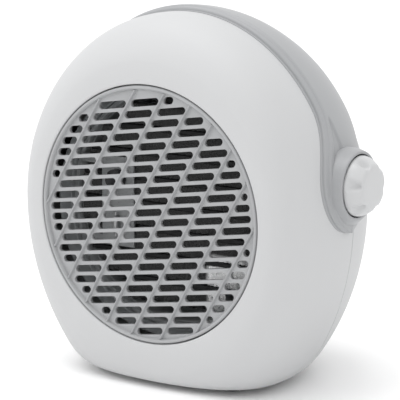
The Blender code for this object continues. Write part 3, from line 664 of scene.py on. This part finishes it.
def slot_outline(along_low, along_high, level):
    """Outline of one slot inside the slots' edge, or None where only plate is left."""
    grille = settings("grille")
    half = grille.slot_height / 2
    steps = 32
    inside = []
    for step in range(steps + 1):
        along = along_low + (along_high - along_low) * step / steps
        upper = pattern_point(along, level + half * 0.6)
        lower = pattern_point(along, level - half * 0.6)
        if max(upper.length, lower.length) < grille.slot_edge:
            inside.append(along)
    if len(inside) < 2 or inside[-1] - inside[0] < grille.slot_height * 0.8:
        return None
    low, high = inside[0], inside[-1]
    corners = [
        pattern_point(low, level - half),
        pattern_point(high, level - half),
        pattern_point(high, level + half),
        pattern_point(low, level + half),
    ]
    radius = min(grille.corner, (corners[1] - corners[0]).length * 0.36)
    outline = rounded_corners(corners, radius, CORNER_STEPS)
    return [held_inside(point, grille.slot_edge) for point in outline]


def cell_border(along_low, along_high, level):
    """Points on the border of a cell, in step with those of a slot's outline."""
    grille = settings("grille")
    half = grille.row_pitch / 2
    ends = [(along_low, level - half), (along_high, level - half),
            (along_high, level + half), (along_low, level + half)]
    border = []
    for index, corner in enumerate(ends):
        before = ends[index - 1]
        after = ends[(index + 1) % 4]
        for step in range(CORNER_STEPS):
            share = step / (CORNER_STEPS - 1)
            back = 0.5 if abs(before[1] - corner[1]) > 1e-6 else 0.14
            ahead = 0.5 if abs(after[1] - corner[1]) > 1e-6 else 0.14
            if share < 0.5:
                pull = back * (1 - share / 0.5)
                spot = (corner[0] + (before[0] - corner[0]) * pull,
                        corner[1] + (before[1] - corner[1]) * pull)
            else:
                pull = ahead * (share - 0.5) / 0.5
                spot = (corner[0] + (after[0] - corner[0]) * pull,
                        corner[1] + (after[1] - corner[1]) * pull)
            border.append(pattern_point(*spot))
    return border


def crossing(inner, outer, radius):
    """Where the line from a point inside the circle to one outside meets the circle."""
    low, high = 0.0, 1.0
    for _ in range(40):
        middle = (low + high) / 2
        if inner.lerp(outer, middle).length < radius:
            low = middle
        else:
            high = middle
    return inner.lerp(outer, low)


def trimmed_border(border, radius):
    """The part of a cell's border inside the circle, closed along the circle's arc."""
    kept = []
    left_at = None
    count = len(border)
    start = next(i for i in range(count) if border[i - 1].length >= radius > border[i].length)
    for step in range(count + 1):
        before, point = border[(start + step - 1) % count], border[(start + step) % count]
        if before.length < radius <= point.length:
            left_at = crossing(before, point, radius)
            kept.append(left_at)
        elif point.length < radius <= before.length:
            back = crossing(point, before, radius)
            if left_at is not None:
                turn = left_at.angle_signed(back)
                parts = max(int(abs(turn) * radius / 0.002), 1)
                for part in range(1, parts):
                    kept.append(Matrix.Rotation(-turn * part / parts, 2) @ left_at)
            if step < count:
                kept.append(back)
        if point.length < radius and step < count:
            kept.append(point)
    return kept


def grille_plate():
    """Flat lattice of cells, each a border round its slot, trimmed to the round edge."""
    grille = settings("grille")
    edge = GRILLE_HIGH.x - grille.ring + 0.0006
    mesh = bmesh.new()
    for row in range(-2, grille.rows + 2):
        level = grille.row_shift + (row - (grille.rows - 1) / 2) * grille.row_pitch
        for gap in range(-7, 7):
            low = grille.shift + gap * grille.rib_pitch
            high = low + grille.rib_pitch
            web = grille.web / 2
            border = cell_border(low, high, level)
            if min(point.length for point in border) > edge:
                continue
            outline = slot_outline(low + web, high - web, level)
            if max(point.length for point in border) >= edge:
                loops = [trimmed_border(border, edge)] + ([outline] if outline else [])
                edges = []
                for loop in loops:
                    verts = [mesh.verts.new((*point, 0)) for point in loop]
                    edges += [mesh.edges.new((verts[i - 1], verts[i])) for i in range(len(verts))]
                bmesh.ops.triangle_fill(mesh, use_beauty=True, edges=edges, normal=(0, 0, 1))
                continue
            outer = [mesh.verts.new((*point, 0)) for point in border]
            count = len(outer)
            if outline is None:
                middle = sum(border, Vector((0, 0))) / count
                hub = mesh.verts.new((*middle, 0))
                for side in range(count):
                    mesh.faces.new((outer[side], outer[(side + 1) % count], hub))
                continue
            rings = [outer]
            for share in (0.5, 1.0):
                rings.append([
                    mesh.verts.new((*border[i].lerp(outline[i], share), 0))
                    for i in range(count)
                ])
            for first, second in zip(rings, rings[1:]):
                for side in range(count):
                    after = (side + 1) % count
                    mesh.faces.new((first[side], first[after], second[after], second[side]))
    return mesh


class HEATER_OT_front_grille(bpy.types.Operator):
    """Domed grille plate with its sloping slots, leaning ribs and raised ring."""

    bl_idname = "heater.front_grille"
    bl_label = "Front grille"

    def execute(self, context):
        grille = settings("grille")
        clear_choice()
        bpy.ops.mesh.primitive_circle_add(vertices=8, radius=1)
        plate = context.object
        mesh = grille_plate()
        mesh.to_mesh(plate.data)
        mesh.free()
        weld(plate, 2e-5, outwards=False)
        for vert in plate.data.vertices:
            spot = Vector((vert.co.x, vert.co.y))
            vert.co = (spot.x, RIM_Y + plate_depth(spot.length), CENTRE_Z + spot.y)
        edit_all(plate)
        bpy.ops.mesh.normals_make_consistent(inside=False)
        bpy.ops.object.mode_set(mode="OBJECT")
        total = sum((face.normal.y for face in plate.data.polygons))
        modified(plate, "SOLIDIFY", thickness=grille.thick, offset=-1.0 if total < 0 else 1.0,
                 use_even_offset=False)
        rounded(plate, 0.0007, 2, 0.9)
        ribs = [self.rib(number) for number in range(-6, 7)]
        ring = self.ring()
        pips = [self.pip(*place) for place in ((-0.0862, 0.0062), (0.0800, -0.0101))]
        parts = [plate, ring] + [rib for rib in ribs if rib] + [pip for pip in pips if pip]
        whole = join("front_grille_fine", parts)
        finished(whole, "root", FINISH["grille_grey"], ["front_grille"], 50)
        return {"FINISHED"}

    def rib(self, number):
        """One rib: a low rounded ridge along a leaning line, ending under the ring."""
        grille = settings("grille")
        edge = GRILLE_HIGH.x - grille.ring + 0.0008
        along = grille.shift + number * grille.rib_pitch
        inside = [
            step / 1000 for step in range(-110, 111)
            if pattern_point(along, step / 1000).length < edge
        ]
        if len(inside) < 8:
            return None
        half = grille.rib_width / 2
        profile = [(-1.0, -0.30), (-0.80, 0.05), (-0.52, 0.42), (-0.36, 0.86), (-0.18, 1.0),
                   (0.18, 1.0), (0.36, 0.86), (0.52, 0.42), (0.80, 0.05), (1.0, -0.30)]

        def place(u, v):
            level = inside[0] + (inside[-1] - inside[0]) * v
            aside, lift = profile[round(u * (len(profile) - 1))]
            spot = pattern_point(along, level)
            spot.x += aside * half * 1.10
            depth = plate_depth(spot.length) - lift * grille.rib_rise
            return Vector((spot.x, RIM_Y + depth, CENTRE_Z + spot.y))

        obj = sheet(f"rib_{number}", len(profile) - 1, 48, place)
        edit_all(obj)
        bpy.ops.mesh.normals_make_consistent(inside=False)
        bpy.ops.object.mode_set(mode="OBJECT")
        return obj

    def ring(self):
        """Raised ring round the plate, with a soft step down to it."""
        grille = settings("grille")
        outer = GRILLE_HIGH.x
        inner = outer - grille.ring
        back = plate_depth(inner) + grille.thick
        section = [
            (back, outer), (0.0009, outer), (0.0003, outer - 0.0004), (0.0, outer - 0.0009),
            (0.0, outer - 0.0016), (0.0003, outer - 0.0021), (0.0010, inner + 0.0004),
            (plate_depth(inner) - 0.0003, inner), (plate_depth(inner) + 0.0006, inner - 0.0005),
            (back, inner - 0.0004),
        ]
        return turned("ring", section, "Y", Vector((0, RIM_Y, CENTRE_Z)), 192)

    def pip(self, x, rise):
        """Small round mark on the plain plate near the ring."""
        radius = math.hypot(x, rise)
        if radius > GRILLE_HIGH.x - settings("grille").ring:
            x, rise = x * 0.94, rise * 0.94
        depth = plate_depth(math.hypot(x, rise))
        section = [(0.0004, 0.0), (-0.0004, 0.0), (-0.0003, 0.0007), (0.0, 0.0011), (0.0004, 0.0011)]
        return turned("pip", section, "Y", Vector((x, RIM_Y + depth, CENTRE_Z + rise)), 20)


# ---------------------------------------------------------------- band, rings and knobs
def band_edges(height):
    """Front and rear depth of the band at a height over the grille centre."""
    band = settings("band")
    over = height - KNOB_RISE
    if over <= 0:
        half = math.sqrt(max(band.lobe**2 - over**2, 0.0))
        return KNOB_Y - half, KNOB_Y + half
    share = min(over / (band.blend - KNOB_RISE), 1.0)
    ease = share * share * (3 - 2 * share)
    front = (KNOB_Y - band.lobe) * (1 - ease) + band.front * ease
    rear = (KNOB_Y + band.lobe) * (1 - ease) + band.rear * ease
    return front, rear


def band_angle(share):
    """Angle round the body; points crowd towards the lowest edge of both round ends."""
    band = settings("band")
    low_rise = settings("body").low_rise
    lowest = math.asin((KNOB_RISE - band.lobe) / low_rise)
    knee = math.asin(KNOB_RISE / TOP_RISE)
    turn = min(share, 1 - share) * 2
    if turn < 0.36:
        part = turn / 0.36
        height = KNOB_RISE - band.lobe * math.cos(part * math.pi / 2)
        angle = math.asin(height / (TOP_RISE if height > 0 else low_rise))
        angle = max(angle, lowest)
    else:
        angle = knee + (math.pi / 2 - knee) * (turn - 0.36) / 0.64
    return angle if share <= 0.5 else math.pi - angle


def band_section():
    """(share across from an edge, distance from it, height) of the band's profile."""
    band = settings("band")
    flange, thick = band.flange, band.thick
    return [
        (0.0, -0.0010), (0.0, 0.08 * thick), (0.0004, 0.12 * thick),
        (band.channel, 0.14 * thick), (band.channel + 0.0002, 0.42 * thick),
        (band.channel + 0.0008, 0.52 * thick), (flange, 0.56 * thick),
        (flange + 0.0004, 0.60 * thick), (flange + 0.0010, 0.80 * thick),
        (flange + 0.0016, 0.85 * thick), (flange + 0.0026, 0.87 * thick),
    ]


class HEATER_OT_band(bpy.types.Operator):
    """Grey band over the top, with a low strip along its edges and crowned between."""

    bl_idname = "heater.band"
    bl_label = "Band"

    def execute(self, context):
        band = settings("band")
        edge = band_section()
        middle = 56
        columns = 2 * len(edge) + middle

        def place(u, v):
            angle = band_angle(v)
            up = math.sin(angle)
            height = up * (TOP_RISE if up > 0 else settings("body").low_rise)
            front, rear = band_edges(height)
            wide = rear - front
            index = round(u * columns)
            fit = min(1.0, wide / 0.026)
            if index < len(edge):
                depth, rise = front + edge[index][0] * fit, edge[index][1]
            elif index > len(edge) + middle:
                spot = edge[columns - index]
                depth, rise = rear - spot[0] * fit, spot[1]
            else:
                share = (index - len(edge)) / middle
                inset = (edge[-1][0] + 0.002) * fit
                depth = front + inset + (wide - 2 * inset) * share
                rise = band.thick * (0.88 + 0.12 * math.sin(math.pi * share))
                rise -= band.pocket * self.pocket(height, depth - front)
            return body_point(angle, depth, -rise * (1 + band.crown * max(up, 0)))

        piece = sheet("band", columns, 480, place)
        weld(piece, 2e-6)
        finished(piece, "root", FINISH["grey_trim"], ["carry_band"], 50)
        return {"FINISHED"}


    def pocket(self, height, across):
        """1 inside the long pocket that runs up from a knob along the front edge, else 0."""
        band = settings("band")
        up = (height - KNOB_RISE) / band.pocket_rise
        if not 0 < up < 1:
            return 0.0
        low = band.flange + 0.0040 + 0.0040 * (1 - up) ** 2
        high = low + 0.0240 * (1 - up)
        inside = min(across - low, high - across, (1 - up) * band.pocket_rise * 0.4)
        return min(max(inside / 0.0009, 0.0), 1.0)


class HEATER_OT_rings(bpy.types.Operator):
    """Sloping grey ring round each knob."""

    bl_idname = "heater.rings"
    bl_label = "Knob rings"

    def execute(self, context):
        band = settings("band")
        top = BEZEL_HIGH.x
        foot = BEZEL_HIGH.x - 0.0195
        face = settings("body").half_width
        for side, sign, _ in SIDES:
            section = [
                (foot, band.ring_bore), (foot, band.ring_foot), (face - 0.0015, band.ring_foot),
                (face - 0.0002, band.ring_foot - 0.0003), (face + 0.0028, band.ring_foot - 0.0014),
                (top - 0.0022, band.ring_top + 0.0012), (top - 0.0008, band.ring_top + 0.0004),
                (top - 0.0002, band.ring_top - 0.0002), (top, band.ring_top - 0.0009),
                (top - 0.0002, band.ring_bore + 0.0003), (top - 0.0008, band.ring_bore),
            ]
            section = [(sign * along, radius) for along, radius in section]
            centre = Vector((0, RIM_Y + KNOB_Y, CENTRE_Z + KNOB_RISE))
            ring = turned(f"{side}_knob_ring", section, "X", centre, 128)
            for vert in ring.data.vertices:
                below = min(max((abs(vert.co.x) - top) / (face - top), 0.0), 1.0)
                wide = math.hypot(vert.co.y - centre.y, vert.co.z - centre.z) - band.ring_bore
                if wide > 0.001:
                    vert.co.y += 0.0018 * below
                    vert.co.z -= 0.0024 * below
            finished(ring, "root", FINISH["grey_trim"], [f"{side}_bezel"], 35)
        return {"FINISHED"}


class HEATER_OT_knobs(bpy.types.Operator):
    """White knobs with a flat cap and finger dimples."""

    bl_idname = "heater.knobs"
    bl_label = "Knobs"

    def execute(self, context):
        band = settings("band")
        inner, outer = KNOB_LOW.x, KNOB_HIGH.x
        length = outer - inner
        rows = [
            (-0.05, 0.0034, 0.0), (-0.05, band.knob - 0.0030, 0.0), (0.0, band.knob - 0.0012, 0.0),
            (0.03, band.knob - 0.0003, 0.0), (0.08, band.knob, 0.02), (0.16, band.knob, 0.10),
            (0.26, band.knob - 0.0002, 0.30), (0.36, band.knob - 0.0006, 0.62),
            (0.48, band.knob - 0.0012, 0.92), (0.60, band.knob - 0.0020, 1.0),
            (0.72, band.knob - 0.0030, 0.90), (0.83, band.knob - 0.0040, 0.70),
            (0.90, band.cap + 0.0008, 0.48), (0.955, band.cap - 0.0001, 0.32),
            (0.985, band.cap - 0.0011, 0.20), (1.0, band.cap - 0.0028, 0.06),
            (0.997, band.cap * 0.5, 0.0), (0.994, 0.0, 0.0),
        ]
        count = len(rows) - 1
        for side, sign, control in SIDES:

            def place(u, v):
                share, radius, depth = rows[round(v * count)]
                angle = math.tau * u
                wave = max(math.cos(band.dimples * angle + math.pi * 0.35), 0.0) ** 1.5
                reach = radius - band.dimple * depth * wave
                x = sign * (inner + length * max(share, -0.0)) if share >= 0 else sign * (inner + 0.0001)
                return Vector((x, RIM_Y + KNOB_Y + reach * math.cos(angle) * sign,
                               CENTRE_Z + KNOB_RISE + reach * math.sin(angle)))

            knob = sheet(f"{control}_knob_fine", 144, count, place)
            weld(knob, 2e-6)
            finished(knob, control, FINISH["knob_white"], [f"{control}_knob"], 40)
        return {"FINISHED"}


# ---------------------------------------------------------------- inside the duct
class HEATER_OT_duct(bpy.types.Operator):
    """Air duct with a turned-out front lip."""

    bl_idname = "heater.duct"
    bl_label = "Air duct"

    def execute(self, context):
        outer = DUCT_HIGH.x
        inner = outer - 0.0020
        front, rear = DUCT_LOW.y - RIM_Y, DUCT_HIGH.y - RIM_Y
        section = [
            (front, outer - 0.0004), (front + 0.0004, outer), (rear, outer), (rear, inner),
            (front + 0.0120, inner), (front + 0.0112, inner - 0.0006), (front + 0.0104, inner),
            (front + 0.0012, inner), (front, inner + 0.0006),
        ]
        duct = turned("air_duct_fine", section, "Y", Vector((0, RIM_Y, CENTRE_Z)), 128)
        finished(duct, "root", FINISH["duct_grey"], ["air_duct"])
        return {"FINISHED"}


class HEATER_OT_fins(bpy.types.Operator):
    """Folded aluminium fins in rows between the ceramic strips."""

    bl_idname = "heater.fins"
    bl_label = "Fins"

    def execute(self, context):
        names = sorted(name for name in frame["nodes"] if name.startswith("fin_pack_"))
        for name in names:
            low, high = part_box(name)
            folds = max(2 * round((high.x - low.x) / 0.0034), 8)

            def place(u, v):
                """Zig-zag with rounded bends; the front edge is slightly wavy."""
                point = u * folds
                fold = int(point)
                part = point - fold
                rise = part * part * (3 - 2 * part)
                if fold % 2:
                    rise = 1 - rise
                wave = 0.0003 * math.sin(7.1 * point)
                y = low.y + 0.0003 + wave * (1 - v) + (high.y - low.y - 0.0006) * v
                lean = 1.6 * (y - low.y) - 0.5 * (high.y - low.y)
                x = min(max(low.x + (high.x - low.x) * u + lean, low.x + 0.0002), high.x - 0.0002)
                return Vector((x, y,
                               low.z + 0.0003 + (high.z - low.z - 0.0006) * rise))

            obj = sheet(f"{name}_folds", folds * 6, 3, place)
            modified(obj, "SOLIDIFY", thickness=0.0003, offset=0.0)
            finished(obj, "root", FINISH["aluminium"], [name], 40)
        return {"FINISHED"}


class HEATER_OT_frame(bpy.types.Operator):
    """Heater frame and the ceramic strips in it."""

    bl_idname = "heater.frame"
    bl_label = "Heater frame"

    def execute(self, context):
        for name in sorted(node for node in frame["nodes"] if node.startswith("ceramic_strip_")):
            low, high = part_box(name)
            strip = block(f"{name}_fine", low, high, 0.0005, 3)
            finished(strip, "root", FINISH["ceramic"], [name])
        front, rear, outer = HEATER_LOW.y, HEATER_HIGH.y, HEATER_HIGH.z - CENTRE_Z
        inner = outer - 0.0040
        section = [
            (front + 0.0004, outer), (rear, outer), (rear, inner), (front + 0.0060, inner),
            (front + 0.0054, inner + 0.0006), (front + 0.0010, inner + 0.0006),
            (front + 0.0002, inner + 0.0011), (front, inner + 0.0018), (front, outer - 0.0005),
        ]
        ring = turned("heater_frame_fine", section, "Y", Vector((0, 0, CENTRE_Z)), 128)
        finished(ring, "root", FINISH["frame_grey"], ["heater_frame"])
        return {"FINISHED"}


class HEATER_OT_fan(bpy.types.Operator):
    """Fan with a domed hub and swept, cupped blades."""

    bl_idname = "heater.fan"
    bl_label = "Fan"

    def execute(self, context):
        front, rear = FAN_LOW.y, FAN_HIGH.y
        reach = (FAN_HIGH.z - FAN_LOW.z) / 2
        hub = 0.0180
        centre = Vector((0, 0, CENTRE_Z))
        section = [(front, 0.0)]
        for step in range(1, 9):
            turn = step / 8 * math.pi / 2
            section.append((front + 0.0050 * (1 - math.cos(turn)), hub * math.sin(turn)))
        section += [(rear, hub), (rear, hub - 0.0015), (front + 0.0070, hub - 0.0015), (front + 0.0070, 0.0)]
        parts = [turned("hub", section, "Y", centre, 96)]
        middle = (front + rear) / 2
        deep = (rear - front) / 2
        for number in range(5):
            turn = math.tau * number / 5

            def place(u, v):
                radius = hub * 0.94 + (reach - hub * 0.94) * v
                chord = 0.020 + 0.014 * math.sin(math.pi * (0.15 + 0.7 * v))
                chord *= 1 - 0.35 * max(v - 0.8, 0) / 0.2
                pitch = math.radians(32 - 8 * v)
                run = chord * (u - 0.5)
                cup = 0.0020 * (1 - (2 * u - 1) ** 2)
                around = run * math.cos(pitch) - cup * math.sin(pitch)
                depth = run * math.sin(pitch) + cup * math.cos(pitch)
                angle = turn + 0.35 * v + around / radius
                depth = max(-deep + 0.001, min(deep - 0.001, depth))
                return Vector((radius * math.cos(angle), middle + depth, CENTRE_Z + radius * math.sin(angle)))

            blade = sheet(f"blade_{number}", 16, 20, place)
            modified(blade, "SOLIDIFY", thickness=0.0013, offset=0.0)
            rounded(blade, 0.0004, 2, 1.0)
            parts.append(blade)
        fan = join("fan_fine", parts)
        finished(fan, "fan", FINISH["dark_plastic"], ["fan_impeller"])
        return {"FINISHED"}


# ---------------------------------------------------------------- rear grille, screws and feet
class HEATER_OT_rear_grille(bpy.types.Operator):
    """Round intake grille: rounded bars between a rolled rim and an upright spine."""

    bl_idname = "heater.rear_grille"
    bl_label = "Rear grille"

    def execute(self, context):
        outer = INTAKE_HIGH.x
        inner = outer - 0.0100
        front, rear = INTAKE_LOW.y, INTAKE_HIGH.y
        centre = Vector((0, 0, (INTAKE_LOW.z + INTAKE_HIGH.z) / 2))
        section = [
            (front, outer), (rear - 0.0010, outer), (rear - 0.0003, outer - 0.0004),
            (rear, outer - 0.0012), (rear, inner + 0.0012), (rear - 0.0004, inner + 0.0003),
            (rear - 0.0012, inner), (front, inner),
        ]
        parts = [turned("rim", section, "Y", centre, 144)]
        for number in range(-4, 5):
            level = number * 0.0082 + 0.0041
            if number == 4:
                continue
            half = math.sqrt(inner**2 - level**2) + 0.0008
            low = Vector((-half, front + 0.0001, centre.z + level - 0.0018))
            high = Vector((half, rear - 0.0002, centre.z + level + 0.0018))
            parts.append(block(f"bar_{number}", low, high, 0.0007, 3))
        low = Vector((-0.0020, front + 0.0002, centre.z - inner - 0.0005))
        high = Vector((0.0020, rear - 0.0001, centre.z + inner + 0.0005))
        parts.append(block("spine", low, high, 0.0007, 3))
        grille = join("rear_grille_fine", parts)
        finished(grille, "root", FINISH["grille_grey"], ["rear_grille"])
        return {"FINISHED"}


class HEATER_OT_screws(bpy.types.Operator):
    """Pan-head screws with a cross recess, one modelled and the rest copied."""

    bl_idname = "heater.screws"
    bl_label = "Screws"

    def execute(self, context):
        names = sorted(name for name in frame["nodes"] if name.startswith("intake_screw_"))
        places = []
        for name in names:
            low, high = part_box(name)
            places.append(((low + high) / 2, high.y, (high.x - low.x) / 2, low.y))
        middle, top, radius, tip = places[0]
        origin = Vector((middle.x, 0, middle.z))
        under = top - 0.0020
        section = [
            (tip, 0.0), (tip, 0.0006), (tip + 0.0015, 0.0014), (under, 0.0014), (under, radius),
            (under + 0.0006, radius), (under + 0.0013, radius * 0.86), (under + 0.0018, radius * 0.6),
            (top, radius * 0.3), (top, 0.0),
        ]
        screw = turned("screw", section, "Y", origin, 40)
        arms = [
            block("arm", origin + Vector((-a, top - 0.0011, -b)), origin + Vector((a, top + 0.001, b)), 0.0001, 1)
            for a, b in ((0.0017, 0.0004), (0.0004, 0.0017))
        ]
        for arm in arms:
            modified(screw, "BOOLEAN", operation="DIFFERENCE", solver="EXACT", object=arm)
            bpy.data.objects.remove(arm, do_unlink=True)
        for number, name in enumerate(names):
            twin = copied(screw, f"{name}_fine") if number else screw
            shift = places[number][0] - middle
            twin.data.transform(Matrix.Translation((shift.x, 0, shift.z)))
        screw.data.transform(Matrix.Translation((0, 0, 0)))
        screw.name = screw.data.name = f"{names[0]}_fine"
        for name in names:
            finished(bpy.data.objects[f"{name}_fine"], "root", FINISH["steel"], [name])
        return {"FINISHED"}


class HEATER_OT_feet(bpy.types.Operator):
    """Rubber feet with a rounded edge and a ringed sole."""

    bl_idname = "heater.feet"
    bl_label = "Feet"

    def execute(self, context):
        names = sorted(name for name in frame["nodes"] if name.startswith("foot_"))
        low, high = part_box(names[0])
        first = (low + high) / 2
        radius = (high.x - low.x) / 2
        sole, stem = 0.0, high.z
        top = stem - 0.0050
        section = [
            (0.0006, 0.0), (0.0006, 0.0030), (sole, 0.0034), (sole, radius - 0.0014),
            (0.0003, radius - 0.0006), (0.0010, radius - 0.0001), (0.0018, radius),
            (top - 0.0004, radius), (top, radius - 0.0004), (top, 0.0025), (stem, 0.0025), (stem, 0.0),
        ]
        foot = turned(f"{names[0]}_fine", section, "Z", Vector((first.x, first.y, 0)), 56)
        for name in names[1:]:
            low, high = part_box(name)
            shift = (low + high) / 2 - first
            twin = copied(foot, f"{name}_fine")
            twin.data.transform(Matrix.Translation((shift.x, shift.y, 0)))
        for name in names:
            finished(bpy.data.objects[f"{name}_fine"], "root", FINISH["rubber"], [name])
        return {"FINISHED"}


class HEATER_OT_inner_finishes(bpy.types.Operator):
    """Finishes for the frame's own nodes, which keep their shapes."""

    bl_idname = "heater.inner_finishes"
    bl_label = "Inner finishes"

    def execute(self, context):
        for node in frame["nodes"].values():
            if node.hide_render:
                continue
            for place in node.material_slots:
                base = place.material.name.split(".")[0]
                if base not in FINISH:
                    raise RuntimeError(f"no finish for {base} on {node.name}")
                place.material = FINISH[base]
        return {"FINISHED"}


# ---------------------------------------------------------------- stage
class HEATER_OT_stage(bpy.types.Operator):
    """Pale floor, soft light and the camera."""

    bl_idname = "heater.stage"
    bl_label = "Stage"

    def execute(self, context):
        stage = settings("stage")
        clear_choice()
        bpy.ops.mesh.primitive_plane_add(size=14)
        floor = context.object
        floor.name = "floor"
        paint = new_finish("pale_floor", (0.93, 0.93, 0.93), 0.6, vary=0.004, scale=2.0, grain=0.0001)
        floor.data.materials.append(paint)
        world = bpy.data.worlds.new("studio")
        world.use_nodes = True
        world.node_tree.nodes["Background"].inputs["Color"].default_value = (1.0, 1.0, 1.0, 1.0)
        world.node_tree.nodes["Background"].inputs["Strength"].default_value = 1.12
        context.scene.world = world
        self.lamp("key", (-1.30, -1.30, 1.30), 0.30, 5.0)
        self.lamp("overhead", (-0.4, -0.3, 2.4), 1.6, 22.0)
        self.camera(context, stage)
        context.scene.view_settings.view_transform = "Standard"
        return {"FINISHED"}

    def lamp(self, name, place, size, watts):
        data = bpy.data.lights.new(name, "AREA")
        data.size = size
        data.energy = watts
        lamp = bpy.data.objects.new(name, data)
        bpy.context.scene.collection.objects.link(lamp)
        towards = Vector((0, 0, CENTRE_Z)) - Vector(place)
        lamp.location = place
        lamp.rotation_euler = towards.to_track_quat("-Z", "Y").to_euler()

    def camera(self, context, stage):
        a, e = stage.azimuth, stage.elevation
        back = Vector((math.sin(a) * math.cos(e), -math.cos(a) * math.cos(e), math.sin(e)))
        right = Vector((math.cos(a), math.sin(a), 0))
        up = back.cross(right)
        target = Vector((0, RIM_Y, CENTRE_Z))
        ahead = math.sqrt(stage.distance**2 - stage.aside**2 - stage.below**2)
        data = bpy.data.cameras.new("camera")
        data.lens = stage.lens
        data.sensor_width = 36.0
        camera = bpy.data.objects.new("camera", data)
        context.scene.collection.objects.link(camera)
        camera.matrix_world = Matrix.Translation(
            target + back * ahead + right * stage.aside + up * stage.below
        ) @ Matrix((right, up, back)).transposed().to_4x4()
        context.scene.camera = camera


class HEATER_PT_panel(bpy.types.Panel):
    """Lists the pieces in the order in which they are made."""

    bl_label = "Fan heater"
    bl_idname = "HEATER_PT_panel"
    bl_space_type = "VIEW_3D"
    bl_region_type = "UI"
    bl_category = "Heater"

    def draw(self, context):
        for kind in OPERATORS:
            self.layout.operator(kind.bl_idname)
        for name in GROUPS:
            group = settings(name)
            box = self.layout.box()
            for key in group.bl_rna.properties.keys():
                if key not in ("rna_type", "name"):
                    box.prop(group, key)


GROUPS = {
    "body": BodySizes,
    "grille": GrilleSizes,
    "band": BandSizes,
    "finish": Finishes,
    "stage": StageSettings,
}
OPERATORS = (
    HEATER_OT_stage,
    HEATER_OT_front_shell,
    HEATER_OT_rear_shell,
    HEATER_OT_front_grille,
    HEATER_OT_band,
    HEATER_OT_rings,
    HEATER_OT_knobs,
    HEATER_OT_duct,
    HEATER_OT_fins,
    HEATER_OT_frame,
    HEATER_OT_fan,
    HEATER_OT_rear_grille,
    HEATER_OT_screws,
    HEATER_OT_feet,
    HEATER_OT_inner_finishes,
)


def register():
    for name, group in GROUPS.items():
        bpy.utils.register_class(group)
        setattr(bpy.types.Scene, f"heater_{name}", PointerProperty(type=group))
    for kind in OPERATORS + (HEATER_PT_panel,):
        bpy.utils.register_class(kind)


def unregister():
    for kind in reversed(OPERATORS + (HEATER_PT_panel,)):
        bpy.utils.unregister_class(kind)
    for name, group in GROUPS.items():
        delattr(bpy.types.Scene, f"heater_{name}")
        bpy.utils.unregister_class(group)


def main():
    register()
    FINISH.update(make_finishes())
    for kind in OPERATORS:
        area, name = kind.bl_idname.split(".")
        getattr(getattr(bpy.ops, area), name)()


if __name__ == "__main__":
    main()
